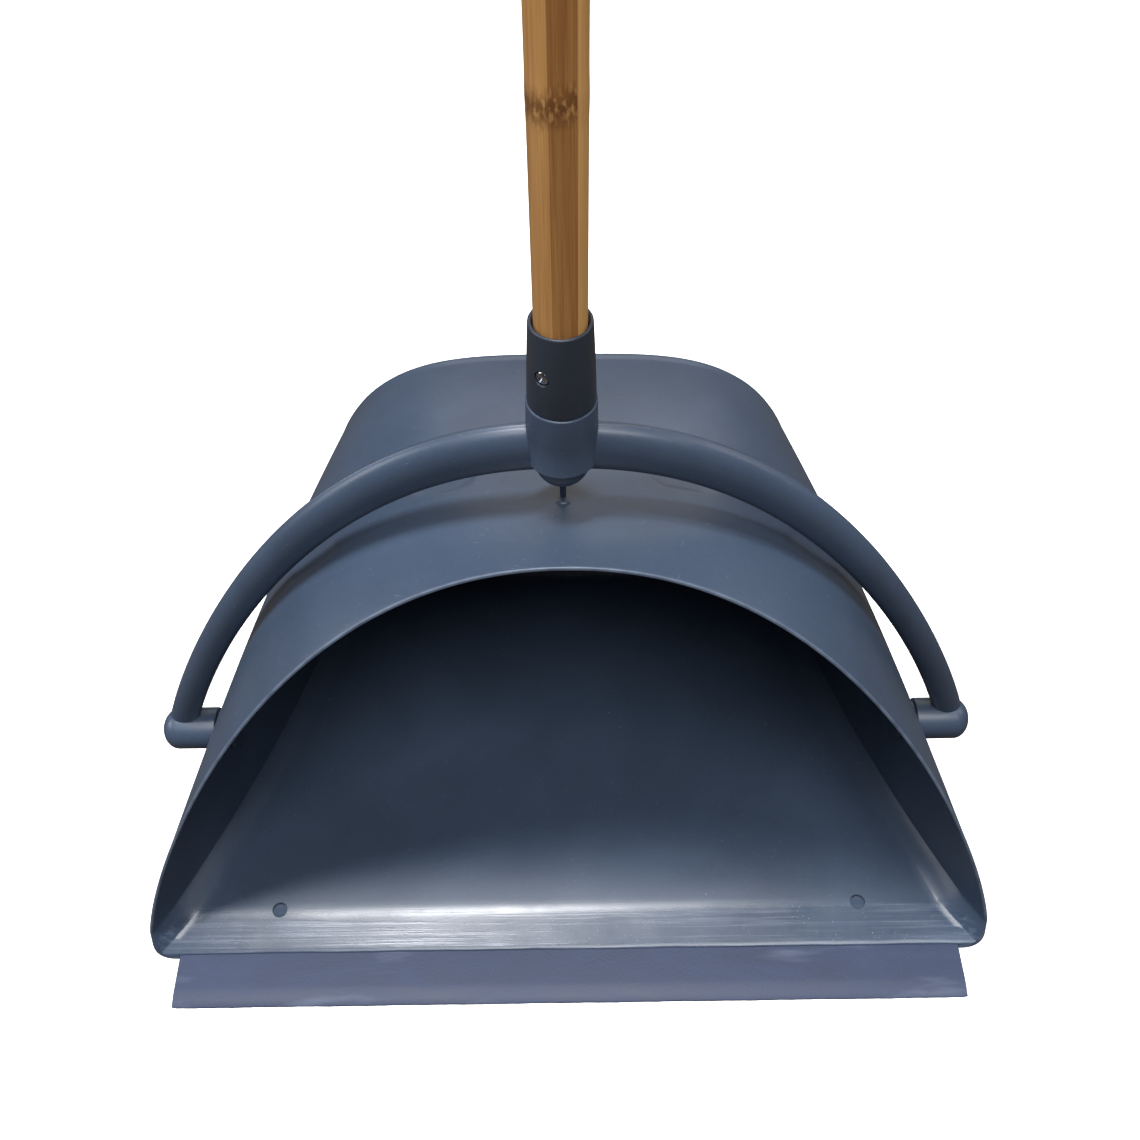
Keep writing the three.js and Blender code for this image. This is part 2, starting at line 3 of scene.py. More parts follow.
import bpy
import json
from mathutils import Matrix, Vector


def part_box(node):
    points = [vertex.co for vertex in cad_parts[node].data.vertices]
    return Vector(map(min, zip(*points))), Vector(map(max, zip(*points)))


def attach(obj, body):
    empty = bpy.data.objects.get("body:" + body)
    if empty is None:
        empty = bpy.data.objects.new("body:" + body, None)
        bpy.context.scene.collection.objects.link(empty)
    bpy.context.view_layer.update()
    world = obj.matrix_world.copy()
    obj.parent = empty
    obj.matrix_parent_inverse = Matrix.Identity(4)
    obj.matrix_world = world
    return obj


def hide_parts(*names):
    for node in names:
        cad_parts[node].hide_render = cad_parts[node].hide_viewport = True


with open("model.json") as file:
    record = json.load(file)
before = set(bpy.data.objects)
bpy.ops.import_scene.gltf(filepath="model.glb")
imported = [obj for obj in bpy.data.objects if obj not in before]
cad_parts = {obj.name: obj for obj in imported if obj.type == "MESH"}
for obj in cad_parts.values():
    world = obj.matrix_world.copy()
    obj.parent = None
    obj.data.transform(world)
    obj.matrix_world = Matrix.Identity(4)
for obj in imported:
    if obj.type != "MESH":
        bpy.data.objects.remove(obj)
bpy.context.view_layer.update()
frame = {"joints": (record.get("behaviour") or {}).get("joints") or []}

import json
import math

import bpy
import numpy as np
from bpy.props import FloatProperty, FloatVectorProperty, IntProperty, PointerProperty
from mathutils import Matrix, Vector

bl_info = {
    "name": "Long-handled dustpan",
    "version": (1, 0, 0),
    "blender": (4, 5, 0),
    "location": "3D View > Sidebar > Dustpan",
    "description": "Builds a hooded dustpan with a tilting bail and a bamboo handle",
    "category": "Add Mesh",
}

MM = 0.001
PAN_LOW, PAN_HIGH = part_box("pan_shell")
LIP_LOW, LIP_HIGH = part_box("soft_lip")
BAIL_LOW, BAIL_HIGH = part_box("bail")
FERRULE_LOW, FERRULE_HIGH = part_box("handle_ferrule")
HANDLE_LOW, HANDLE_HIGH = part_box("bamboo_handle")
CAP_LOW, CAP_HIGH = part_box("end_cap")
AXIS = Vector(frame["joints"][0]["pos_m"])  # the bail turns about this line along X
SLIDE = 0.3 * MM  # gap between pieces that touch or turn


# --- what a user may change --------------------------------------------------------------------


def length(name, millimetres, description):
    """A size in metres with a millimetre default."""
    return FloatProperty(
        name=name, description=description, default=millimetres * MM, unit="LENGTH", precision=4
    )


def number(name, default, description):
    """A plain number, such as the power of a curve."""
    return FloatProperty(name=name, description=description, default=default, precision=3)


def count(name, default, description):
    """How many steps or copies."""
    return IntProperty(name=name, description=description, default=default, min=1)


def colour(name, hex_value, description):
    """A colour given as sRGB hex and kept as linear light."""
    return FloatVectorProperty(
        name=name,
        description=description,
        default=linear(hex_value),
        size=4,
        min=0,
        max=1,
        subtype="COLOR",
    )


def linear(hex_value):
    """An sRGB hex colour as linear RGBA."""
    channels = [int(hex_value[k : k + 2], 16) / 255 for k in (1, 3, 5)]
    return [c / 12.92 if c <= 0.04045 else ((c + 0.055) / 1.055) ** 2.4 for c in channels] + [1]


class DustpanPanSizes(bpy.types.PropertyGroup):
    """Sizes of the moulded pan. Depths run backwards from the bail's turning axis."""

    wall: length("Wall", 2.2, "Thickness of the hood")
    mouth_half: length("Mouth half width", PAN_HIGH.x / MM, "At the mouth's lower corners")
    mouth_reach: length("Mouth reach", 69.6, "Turning axis to the mouth's lower corners")
    mouth_height: length("Mouth height", 173.8, "Side seam to the mouth's top")
    mouth_rake: length("Mouth rake", 39, "How far the mouth's top leans back")
    back_half: length("Back half width", 104.5, "At the back wall")
    back_height: length("Back height", 137, "Side seam to the hood's top at the back")
    back_reach: length("Back reach", 109, "Turning axis to the rounded back edge")
    side_hollow: length("Side hollow", 6.6, "The sides bow inwards by this much")
    crown_rise: length("Crown rise", 7, "The ridge bows upwards by this much")
    seam_height: length("Seam height", 12.2, "Where the lower edge starts to round")
    lower_round: length("Lower rounding", 9, "How far the lower edge turns in")
    back_round: length("Back rounding", 8, "Radius between the hood and the back wall")
    mouth_toe: length("Mouth toe", 5.6, "The mouth's edge runs forward to the sill")
    mouth_side: number("Mouth side power", 2.11, "Shape of the mouth's sides")
    mouth_top: number("Mouth top power", 1.22, "Shape of the mouth's top")
    back_side: number("Back side power", 3.57, "Shape of the back's sides")
    back_top: number("Back top power", 3.1, "Shape of the back's top")
    rim_wall: length("Rim wall", 1.2, "The hood thins to this at the mouth")
    rim_round: length("Rim rounding", 0.35, "Rounding of the mouth's edge")
    rim_run: length("Rim run", 14, "Depth in which the wall grows to its full thickness")
    corner_power: number("Corner power", 0.42, "Below 1 the lower edges drop steeply, then slope in")
    floor_top: length("Floor top", 8, "Height of the floor inside")
    floor_fillet: length("Floor fillet", 8, "Where the floor meets the sides")
    sill_top: length("Sill top", 2.5, "Height of the ramp's front edge")
    facet: number("Facet", 0.6, "How flat the floor's fillet is, 0 is round and 1 a chamfer")
    knee_drop: length("Knee drop", 1.3, "How far the ramp's top lies below the floor")
    ramp_run: length("Ramp run", 13.4, "Depth of the ramp behind the mouth's corners")
    apron_run: length("Apron run", 25, "Depth in which the floor dips to the ramp")
    sill_wear: length("Sill wear", 0.35, "How ragged the ramp's front edge is")
    dent_length: length("Dent length", 25, "Oval dents under the bail's arms")
    dent_width: length("Dent width", 15, "Oval dents under the bail's arms")
    dent_depth: length("Dent depth", 0.9, "Oval dents under the bail's arms")
    pin_radius: length("Ejector mark radius", 3, "Round marks at the ramp's top")
    pin_place: length("Ejector mark place", 116, "From the middle to each mark")
    rib_spacing: length("Rib spacing", 78, "Ribs under the floor")
    stud_radius: length("Stud radius", 4.6, "What the bail turns on")
    stud_length: length("Stud length", 14, "From the collar to the tip")
    collar_radius: length("Collar radius", 7.2, "Between the hood and the boss")
    collar_length: length("Collar length", 5.9, "Between the hood and the boss")
    step_rise: length("Step rise", 0.3, "The step above the fin's foot")
    arch_steps: count("Arch steps", 340, "Points over the hood from foot to foot")
    floor_steps: count("Floor steps", 90, "Points across the floor")


class DustpanBailSizes(bpy.types.PropertyGroup):
    """Sizes of the bail, an arch with two bosses, a socket and a fin."""

    arm_radius: length("Arm radius", 5.4, "Half width beside the bosses")
    arm_depth: length("Arm depth", 3.9, "Half depth beside the bosses, where the arms are flat")
    root_depth: length("Arm root depth", 5.2, "Half depth beside the socket")
    arm_setback: length("Arm setback", 1.8, "The arms leave the bosses this far behind the axis")
    root_height: length("Arm root height", 9.1, "Half height beside the socket, where the arms are oval")
    arm_taper: number("Arm taper", 4.8, "Power of the swelling between the two")
    arm_rise: length("Arm rise", 26.3, "Arms' centre line above the hood's ridge")
    across_power: number("Across power", 0.895, "1 would be an ellipse")
    up_power: number("Up power", 1.8, "1 would be an ellipse")
    parting_rise: length("Parting line rise", 0.16, "Witness line of the mould's halves")
    boss_wall: length("Boss wall", 3.4, "Round the stud's bore")
    boss_nose: length("Boss nose", 2.3, "The boss ends this far outside the arm")
    boss_dome: length("Boss dome", 6.4, "Length of the rounded end")
    socket_drop: length("Socket drop", 3.8, "Arms' centre line to the socket's lower edge")
    socket_wall: length("Socket wall", 3.6, "Round the spigot at the rim")
    socket_flare: length("Socket flare", 0.3, "The lower end is this much wider")
    keel_depth: length("Keel depth", 11.3, "The narrower end under the socket")
    fin_thickness: length("Fin thickness", 2.1, "Under the socket")
    fin_front: length("Fin front", -1.2, "Ahead of the turning axis, or behind it if negative")
    fin_back: length("Fin back", 7, "Behind the turning axis")
    fin_foot: length("Fin foot", 183.45, "Height of its lower edge")
    arm_steps: count("Arm steps", 220, "Rings along the arms")
    arm_sides: count("Arm sides", 44, "Points round the arms")


class DustpanHandleSizes(bpy.types.PropertyGroup):
    """Sizes of the ferrule, its screw, the bamboo handle and the end cap."""

    spigot_radius: length("Spigot radius", 7, "The ferrule's end in the socket")
    spigot_bore: length("Spigot bore", 4.5, "The spigot is hollow")
    ferrule_wall: length("Ferrule wall", 1.25, "Round the handle at the top")
    ferrule_height: length("Ferrule height", 29.5, "Above its shoulder")
    handle_seat: length("Handle seat", 4, "Handle's end above the shoulder")
    screw_height: length("Screw height", 14.5, "Above the ferrule's shoulder")
    screw_azimuth: number("Screw azimuth", 35, "Degrees to the left of straight ahead")
    head_radius: length("Screw head radius", 2.2, "Cross-head screw")
    head_height: length("Screw head height", 1.3, "Cross-head screw")
    core_radius: length("Screw core radius", 1.05, "Below the thread")
    thread_radius: length("Screw thread radius", 1.45, "Over the thread")
    screw_length: length("Screw length", 10, "Below the head")
    screw_pitch: length("Screw pitch", 1.1, "From thread to thread")
    chamfer: length("Handle chamfer", 1.2, "At both ends of the bamboo")
    node_swell: length("Node swell", 0.12, "The bamboo is left a little proud at its nodes")
    node_height: length("Node height", 327.3, "Middle of the lowest node above the floor")
    strip_width: length("Strip width", 6.9, "Width of the glued bamboo strips")
    cap_tab: length("Cap tab", 34, "Above the handle's end")
    tab_thickness: length("Tab thickness", 7, "Of the flat hanging tab")
    cap_shoulder: length("Cap shoulder", 6, "Round length below the flat tab")
    hole_radius: length("Hanging hole radius", 4.5, "Through the tab")
    hole_rise: length("Hanging hole rise", 17.6, "Above the handle's end")


class DustpanFinish(bpy.types.PropertyGroup):
    """Colours of the plastics, the bamboo and the stage."""

    slate: colour("Slate", "#3a485d", "Pigment of the pan and the bail")
    slate_deep: colour("Slate, deep", "#313e51", "Darker clouds in the same pigment")
    # scuff also paints the pale line on the mouth's edge, which is partly wear and partly painted highlight
    scuff: colour("Scuff", "#8b98ad", "Pale scratches and dust")
    charcoal: colour("Charcoal", "#29303c", "Pigment of the ferrule")
    charcoal_deep: colour("Charcoal, deep", "#1d232e", "Darker clouds in it")
    lip: colour("Lip", "#343f5b", "Pigment of the soft lip")
    lip_deep: colour("Lip, deep", "#2b354e", "Darker clouds in it")
    bamboo_pale: colour("Bamboo, pale", "#dcaa69", "Paler strips")
    bamboo_dark: colour("Bamboo, dark", "#7f4616", "Darker strips and grain")
    bamboo_node: colour("Bamboo, node", "#6a3f1b", "The nodes")
    steel: colour("Plated steel", "#c8cbd0", "The screw")
    floor: colour("Floor", "#ffffff", "The stage's floor")


# --- mesh helpers ------------------------------------------------------------------------------


def new_piece(name, points, faces):
    """A mesh object from points and faces."""
    mesh = bpy.data.meshes.new(name)
    mesh.from_pydata([tuple(p) for p in points], [], faces)
    mesh.update()
    piece = bpy.data.objects.new(name, mesh)
    bpy.context.scene.collection.objects.link(piece)
    return piece


def skin(rings):
    """Points and faces of a closed skin over equal rings, with a fan over each end."""
    rings = np.array(rings, float)
    rows, sides = rings.shape[:2]
    points = list(rings.reshape(-1, 3)) + [rings[0].mean(axis=0), rings[-1].mean(axis=0)]
    faces = []
    for row in range(rows - 1):
        for s in range(sides):
            a, b = row * sides + s, row * sides + (s + 1) % sides
            faces.append((a, b, b + sides, a + sides))
    last = (rows - 1) * sides
    for s in range(sides):
        t = (s + 1) % sides
        faces.append((t, s, rows * sides))
        faces.append((last + s, last + t, rows * sides + 1))
    return points, faces


def loft(name, rings):
    """A closed piece over rings, with its faces turned outwards."""
    piece = new_piece(name, *skin(rings))
    turn_outwards(piece.data)
    return piece


def turn_outwards(mesh):
    """Flips all the faces of a closed mesh if its volume comes out negative."""
    mesh.calc_loop_triangles()
    corners = np.empty(len(mesh.vertices) * 3)
    mesh.vertices.foreach_get("co", corners)
    corners = corners.reshape(-1, 3)
    triangles = np.array([t.vertices for t in mesh.loop_triangles])
    a, b, c = (corners[triangles[:, k]] for k in range(3))
    if np.einsum("ij,ij->", a, np.cross(b, c)) < 0:
        mesh.flip_normals()


def lathe(name, profile, origin, axis=(0, 0, 1), sides=72):
    """A turned piece from (radius, distance) pairs along an axis through the origin."""
    turn = Vector((0, 0, 1)).rotation_difference(Vector(axis)).to_matrix()
    angles = np.linspace(0, 2 * math.pi, sides, endpoint=False)
    rings = []
    for radius, along in profile:
        ring = [turn @ Vector((radius * math.cos(a), radius * math.sin(a), along)) for a in angles]
        rings.append([tuple(p + Vector(origin)) for p in ring])
    return loft(name, rings)


def box(name, low, high):
    """A block between two corners, used as a cutter or a rib."""
    corners = [(x, y, z) for z in (low[2], high[2]) for y in (low[1], high[1]) for x in (low[0], high[0])]
    faces = [(0, 2, 3, 1), (4, 5, 7, 6), (0, 1, 5, 4), (2, 6, 7, 3), (0, 4, 6, 2), (1, 3, 7, 5)]
    return new_piece(name, corners, faces)


def arc(middle, radius, start, end, steps):
    """(radius, distance) pairs on an arc of a profile, angles in degrees."""
    angles = np.radians(np.linspace(start, end, steps))
    return [(middle[0] + radius[0] * math.cos(a), middle[1] + radius[1] * math.sin(a)) for a in angles]


def combine(piece, others, operation):
    """Joins or cuts a piece with other closed pieces, which are used up."""
    for other in others:
        modifier = piece.modifiers.new(other.name, "BOOLEAN")
        modifier.operation = operation
        modifier.solver = "MANIFOLD"
        modifier.object = other
    apply_modifiers(piece)
    for other in others:
        bpy.data.meshes.remove(other.data)


def apply_modifiers(piece):
    """Replaces the mesh by what its modifiers make of it."""
    graph = bpy.context.evaluated_depsgraph_get()
    made = bpy.data.meshes.new_from_object(piece.evaluated_get(graph))
    if not made.polygons:
        raise RuntimeError(f"{piece.name} came out empty")
    old = piece.data
    piece.modifiers.clear()
    piece.data = made
    name = old.name
    bpy.data.meshes.remove(old)
    made.name = name


def finish_piece(piece, material, body, node, crease=35):
    """Shades a piece, gives it its material, ties it to its body and hides the CAD node that it stands in
    for.
    """
    piece.data.materials.clear()
    piece.data.materials.append(material)
    piece.data.polygons.foreach_set("use_smooth", [True] * len(piece.data.polygons))
    piece.data.set_sharp_from_angle(angle=math.radians(crease))
    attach(piece, body)
    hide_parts(node)


def lerp(a, b, share):
    """Between a and b."""
    return a + (b - a) * share


def smooth_step(value):
    """0 to 1 with soft ends."""
    value = np.clip(value, 0, 1)
    return value * value * (3 - 2 * value)


def ripple(x, seed):
    """A fixed sum of waves between about -1 and 1, for worn edges. x is in metres."""
    waves = ((61, 0.5), (173, 0.35), (420, 0.25), (910, 0.15))
    return sum(share * np.sin(x * turns * 2 + seed * (k + 1.7)) for k, (turns, share) in enumerate(waves))


# --- the pan's shape ---------------------------------------------------------------------------


def arch(sizes, share):
    """The hood's section at a share of its depth, 0 at the mouth and 1 at the back."""
    bow = 4 * share * (1 - share)
    return {
        "half": lerp(sizes.mouth_half, sizes.back_half, share) - sizes.side_hollow * bow,
        "height": lerp(sizes.mouth_height, sizes.back_height, share) + sizes.crown_rise * bow,
        "side": lerp(sizes.mouth_side, sizes.back_side, share),
        "top": lerp(sizes.mouth_top, sizes.back_top, share),
        "front": lerp(-sizes.mouth_reach, sizes.back_reach, share),
        "rake": lerp(sizes.mouth_rake, 0, share),
    }


def arch_points(sizes, share, angles, inset=0.0):
    """Points over the arch, from the left foot at angle 0 to the right foot at half a turn."""
    form = arch(sizes, share)
    across, up = np.cos(angles), np.clip(np.sin(angles), 0, 1)
    x = -(form["half"] - inset) * np.sign(across) * np.abs(across) ** (2 / form["side"])
    rise = (form["height"] - inset) * up ** (2 / form["top"])
    y = form["front"] + form["rake"] * rise / form["height"]
    return np.stack([x, y + AXIS.y, sizes.seam_height + rise], axis=-1)


def arch_angles(sizes):
    """Angles over the arch, closer together where its powers pull the points apart."""
    share = np.linspace(0, 1, sizes.arch_steps + 1)
    return math.pi * (share - 0.055 * np.sin(4 * math.pi * share) / 2)


def pan_ring(sizes, share, inset=0.0, base=0.0, fillet=None, shift=0.0, inner=0.0):
    """One closed ring of the pan: the arch, its lower edges and a flat base. Outside, the lower
    edges drop steeply and then slope in; inside they are flat facets, creased at both ends."""
    fillet = sizes.lower_round if fillet is None else fillet
    form = arch(sizes, share)
    edge, drop = form["half"] - inset, sizes.seam_height - base
    turn, straight = np.radians(np.arange(1, 10) * 10), np.linspace(0, 1, 10)[1:]
    across, down = np.clip(np.cos(turn), 0, 1), np.sin(turn)
    flat_across = lerp(across, 1 - straight, sizes.facet)
    flat_down = lerp(down, straight, sizes.facet)
    across = lerp(across, flat_across, inner)
    down = lerp(down**sizes.corner_power, flat_down, inner)
    side_x = edge - fillet * (1 - across)
    side_z = sizes.seam_height - drop * down
    level = np.linspace(side_x[-1], -side_x[-1], sizes.floor_steps + 1)[1:-1]
    low_x = np.concatenate([side_x, level, -side_x[::-1]])
    low_z = np.concatenate([side_z, np.full(len(level), base), side_z[::-1]])
    toe = lerp(sizes.mouth_toe, 0, share) * (1 - low_z / sizes.seam_height)
    low = np.stack([low_x, form["front"] + AXIS.y - toe, low_z], axis=-1)
    ring = np.concatenate([arch_points(sizes, share, arch_angles(sizes), inset), low])
    ring[:, 1] += shift
    return ring


def back_rings(sizes, inset, base, fillet, inner):
    """The rings that round the back edge off."""
    radius = sizes.back_round - inset
    rings = []
    for degrees in (12, 24, 36, 48, 60, 72, 82, 90):
        angle = math.radians(degrees)
        shrink = radius * (1 - math.cos(angle))
        shift = radius * math.sin(angle)
        rings.append(pan_ring(sizes, 1, inset + shrink, base + shrink, fillet, shift, inner))
    return rings


def floor_height(sizes, depth):
    """Height of the floor inside, with its bends softened."""
    offsets = (-2, -1.2, -0.4, 0.4, 1.2, 2)
    return float(np.mean([bent_floor(sizes, depth + offset * MM) for offset in offsets]))


def bent_floor(sizes, depth):
    """The ramp, a shallow dip behind it, then flat."""
    knee = sizes.floor_top - sizes.knee_drop
    if depth < sizes.ramp_run:
        return lerp(sizes.sill_top, knee, depth / sizes.ramp_run)
    dip = min((depth - sizes.ramp_run) / sizes.apron_run, 1)
    return lerp(knee, sizes.floor_top, 1 - (1 - dip) ** 2)


def depth_shares(sizes, spans):
    """Shares of the depth from (end, step) pairs in metres, the mouth first."""
    depth = sizes.mouth_reach + sizes.back_reach
    shares, start = [0.0], 0.0
    for end, step in spans:
        end = min(end, depth)
        steps = max(1, round((end - start) / step))
        shares += [(start + (end - start) * (k + 1) / steps) / depth for k in range(steps)]
        start = end
    return shares


def hood_point(sizes, y, x):
    """The hood's surface point in a plane y at a distance x left of the middle, axis frame."""

    def at(angle):
        near, far = 0.0, 1.0
        for _ in range(36):
            middle = (near + far) / 2
            if arch_points(sizes, middle, np.array([angle]))[0, 1] - AXIS.y < y:
                near = middle
            else:
                far = middle
        return arch_points(sizes, near, np.array([angle]))[0]

    low, high = 0.0, math.pi / 2
    for _ in range(36):
        angle = (low + high) / 2
        if at(angle)[0] > -x:
            high = angle
        else:
            low = angle
    return at(high)


def stud_seat(sizes):
    """The hood's half width at the bail's turning axis."""
    near, far = sizes.back_half, sizes.mouth_half
    for _ in range(36):
        x = (near + far) / 2
        if hood_point(sizes, 0, x)[2] > AXIS.z:
            near = x
        else:
            far = x
    return near


def press_dents(sizes, rings):
    """Sinks four oval dents with flat bottoms into the hood under the bail's arms."""
    for spot, setback in ((0.25, 18 * MM), (0.53, 4.5 * MM)):
        x = spot * sizes.mouth_half
        for side in (-1, 1):
            mirror = np.array([-side, 1, 1])
            on = hood_point(sizes, setback, x) * mirror
            inner = hood_point(sizes, setback, x - MM) * mirror
            behind = hood_point(sizes, setback + MM, x) * mirror
            along = (on - inner) / np.linalg.norm(on - inner)
            out = np.cross(along, behind - on)
            out *= np.sign(out[2]) / np.linalg.norm(out)
            back = np.cross(out, along)
            offset = rings - on
            u, v, height = offset @ along, offset @ back, offset @ out
            run = (sizes.dent_length - sizes.dent_width) / 2
            edge = sizes.dent_width / 2 - np.hypot(np.maximum(np.abs(u) - run, 0), v)
            sink = smooth_step(edge / (1.8 * MM)) * (np.abs(height) < 9 * MM)
            target = np.minimum(height, -sizes.dent_depth)
            rings += (sink * (target - height))[..., None] * out
    return rings


def pan_rings(sizes):
    """All rings of the pan: the outside from the back to the mouth, the rim, then the inside."""
    depth = sizes.mouth_reach + sizes.back_reach
    spans = ((8 * MM, 1.3 * MM), (60 * MM, 2 * MM), (105 * MM, 1 * MM), (1, 2.6 * MM))
    outside = back_rings(sizes, 0, 0, sizes.lower_round, 0)[::-1]
    outside += [pan_ring(sizes, share) for share in depth_shares(sizes, spans)[::-1]]
    outside = press_dents(sizes, np.array(outside))
    outside[-1, :, 1] += sizes.rim_round
    edge, wall = sizes.rim_round, sizes.rim_wall
    turns = np.radians((30, 60, 90))
    insets = [edge * (1 - math.cos(a)) for a in turns]
    shifts = [edge * (1 - math.sin(a)) for a in turns]
    places = [*zip(insets, shifts), *zip([wall - k for k in insets[::-1]], shifts[::-1])]
    rim = []
    for inset, shift in places:
        share = inset / wall
        fillet = lerp(sizes.lower_round, sizes.rim_wall, share)
        rim.append(pan_ring(sizes, 0, inset, sizes.sill_top * share, fillet, shift, share))
    inside = []
    for share in depth_shares(sizes, ((3 * MM, 0.75 * MM), (42 * MM, 1.3 * MM), (1, 4 * MM))):
        run = share * depth
        thick = lerp(sizes.rim_wall, sizes.wall, float(smooth_step(run / sizes.rim_run)))
        fillet = lerp(sizes.rim_wall, sizes.floor_fillet, min(run / sizes.ramp_run, 1))
        shift = edge if share == 0 else 0
        inside.append(pan_ring(sizes, share, thick, floor_height(sizes, run), fillet, shift, 1))
    inside += back_rings(sizes, sizes.wall, sizes.floor_top, sizes.floor_fillet, 1)
    return wear_sill(sizes, np.concatenate([outside, np.array(rim), np.array(inside)]))


def wear_sill(sizes, rings):
    """Makes the ramp's front edge a little ragged, as sweeping leaves it."""
    front = -sizes.mouth_reach - sizes.mouth_toe + AXIS.y
    near = smooth_step(1 - np.abs(rings[..., 1] - front) / (2.4 * MM))
    low = smooth_step((sizes.sill_top + MM - rings[..., 2]) / MM)
    inside = smooth_step((LIP_HIGH.x - np.abs(rings[..., 0])) / (6 * MM))
    top = smooth_step((rings[..., 2] - sizes.sill_top + 0.9 * MM) / (0.5 * MM))
    amount = near * low * inside * top * sizes.sill_wear
    rings[..., 1] += amount * (1 + ripple(rings[..., 0], 2.0)) / 2
    rings[..., 2] -= amount * (1 + ripple(rings[..., 0], 5.0)) / 3
    return rings


def pocket_cutters(sizes):
    """Closed prisms that hollow the floor out from below, between the ribs."""
    depth = sizes.mouth_reach + sizes.back_reach
    front, back = sizes.ramp_run + 12 * MM, depth - 6 * MM
    middle = (front + back) / 2
    roof, floor = sizes.floor_top - sizes.wall, -2 * MM
    columns = [(k - 1) * sizes.rib_spacing for k in range(3)]
    half_rib = sizes.wall / 2

    def side(run):
        return arch(sizes, run / depth)["half"] - 16 * MM

    cutters = []
    for near, far in ((front, middle - half_rib), (middle + half_rib, back)):
        edges = [None, *columns, None]
        for left, right in zip(edges, edges[1:]):
            corners = []
            for run in (near, far):
                low = -side(run) if left is None else left + half_rib
                high = side(run) if right is None else right - half_rib
                corners.append((low, high, run - sizes.mouth_reach + AXIS.y))
            (a, b, y0), (c, d, y1) = corners
            outline = [(a, y0), (b, y0), (d, y1), (c, y1)]
            points = [(x, y, z) for z in (floor, roof) for x, y in outline]
            faces = [(3, 2, 1, 0), (4, 5, 6, 7)]
            faces += [(k, (k + 1) % 4, (k + 1) % 4 + 4, k + 4) for k in range(4)]
            cutters.append(new_piece("pocket", points, faces))
            turn_outwards(cutters[-1].data)
    return cutters


def stud_pieces(sizes):
    """The two studs with their collars."""
    seat = stud_seat(sizes)
    tip = seat + sizes.collar_length + sizes.stud_length
    round_off = 0.6 * MM
    profile = [
        (1e-5, seat - sizes.wall * 0.8),
        (sizes.collar_radius + 1.5 * MM, seat - sizes.wall * 0.8),
        (sizes.collar_radius + 1.5 * MM, seat - 0.2 * MM),
        *[(sizes.collar_radius + 1.5 * MM * (1 - t), seat + 1.5 * MM * t * t) for t in (0.25, 0.5, 0.75, 1)],
        (sizes.collar_radius, seat + sizes.collar_length - 0.3 * MM),
        (sizes.collar_radius - 0.3 * MM, seat + sizes.collar_length),
        (sizes.stud_radius, seat + sizes.collar_length),
        (sizes.stud_radius, tip - round_off),
        (sizes.stud_radius - round_off, tip),
        (1e-5, tip),
    ]
    return [lathe("stud", profile, AXIS, (side, 0, 0)) for side in (-1, 1)]


def build_pan(sizes):
    """The whole pan as one moulding."""
    piece = loft("pan_shell_moulding", pan_rings(sizes))
    bail = bpy.context.scene.dustpan_bail
    step_back = AXIS.y - bail.fin_front - SLIDE
    ridge = hood_point(sizes, step_back - AXIS.y - 1.5 * MM, 0)[2]
    joined = stud_pieces(sizes)
    joined.append(fin_step(step_back, ridge, bail.fin_foot + sizes.step_rise))
    combine(piece, joined, "UNION")
    rebate = box(
        "rebate",
        (LIP_LOW.x - SLIDE, PAN_LOW.y - 5 * MM, -5 * MM),
        (LIP_HIGH.x + SLIDE, LIP_HIGH.y + SLIDE, LIP_HIGH.z + SLIDE),
    )
    combine(piece, [rebate, *pocket_cutters(sizes), *pin_cutters(sizes)], "DIFFERENCE")
    return piece


def pin_cutters(sizes):
    """The round flat marks that the mould's ejector pins leave in the top of the ramp."""
    y = -sizes.mouth_reach + AXIS.y + sizes.ramp_run - 1.6 * MM
    low = floor_height(sizes, sizes.ramp_run - 1.6 * MM - sizes.pin_radius) + 0.15 * MM
    profile = [(1e-5, low), (sizes.pin_radius, low), (sizes.pin_radius, low + 4 * MM), (1e-5, low + 4 * MM)]
    return [lathe("pin", profile, (side * sizes.pin_place, y, 0), sides=48) for side in (-1, 1)]


def fin_step(back, ridge, top):
    """The low rounded step on the ridge that the bail's fin stands against."""
    half, run = 2.6 * MM, 2.6 * MM
    low = ridge - 0.6 * MM
    around = np.linspace(0, 2 * math.pi, 48, endpoint=False)
    rings = [np.stack([half * np.cos(around), run / 2 * np.sin(around), np.full(48, low)], axis=-1)]
    for lift in np.radians(np.linspace(0, 88, 12)):
        x = half * math.cos(lift) * np.cos(around)
        y = run / 2 * math.cos(lift) * np.sin(around)
        rings.append(np.stack([x, y, np.full(48, low + 0.01 * MM + (top - low) * math.sin(lift))], axis=-1))
    return loft("fin_step", np.array(rings) + np.array([0, back - run / 2, 0]))


# --- lip, bail, ferrule, screw, handle and cap -------------------------------------------------


def build_lip():
    """A soft strip with a thin, slightly wavy front edge, tucked under the sill."""
    half, back, nose = LIP_HIGH.x, LIP_HIGH.y, LIP_LOW.y
    thick, thin, bevel, edge = LIP_HIGH.z, 0.7 * MM, 6 * MM, 0.25 * MM
    outline = [(back, 0), (back, thick), (nose + bevel + 2 * MM, thick), (nose + bevel, thick - 0.04 * MM)]
    outline += [(nose + bevel / 2, lerp(thin, thick, 0.52)), (nose + edge, thin)]
    outline += [(nose + 0.05 * MM, thin * 0.7), (nose, thin * 0.35), (nose + 0.05 * MM, 0)]
    rings = []
    for x in np.linspace(-half, half, 300):
        wear = 0.22 * MM * (1 + ripple(x, 9.0)) / 2
        pull = 0.35 * MM * smooth_step((abs(x) - half + 2 * MM) / (2 * MM))
        ring = []
        for y, z in outline:
            front = smooth_step((nose + 5 * MM - y) / (5 * MM))
            ring.append((x, y + front * (wear + pull), z))
        rings.append(ring)
    return loft("soft_lip_strip", rings)


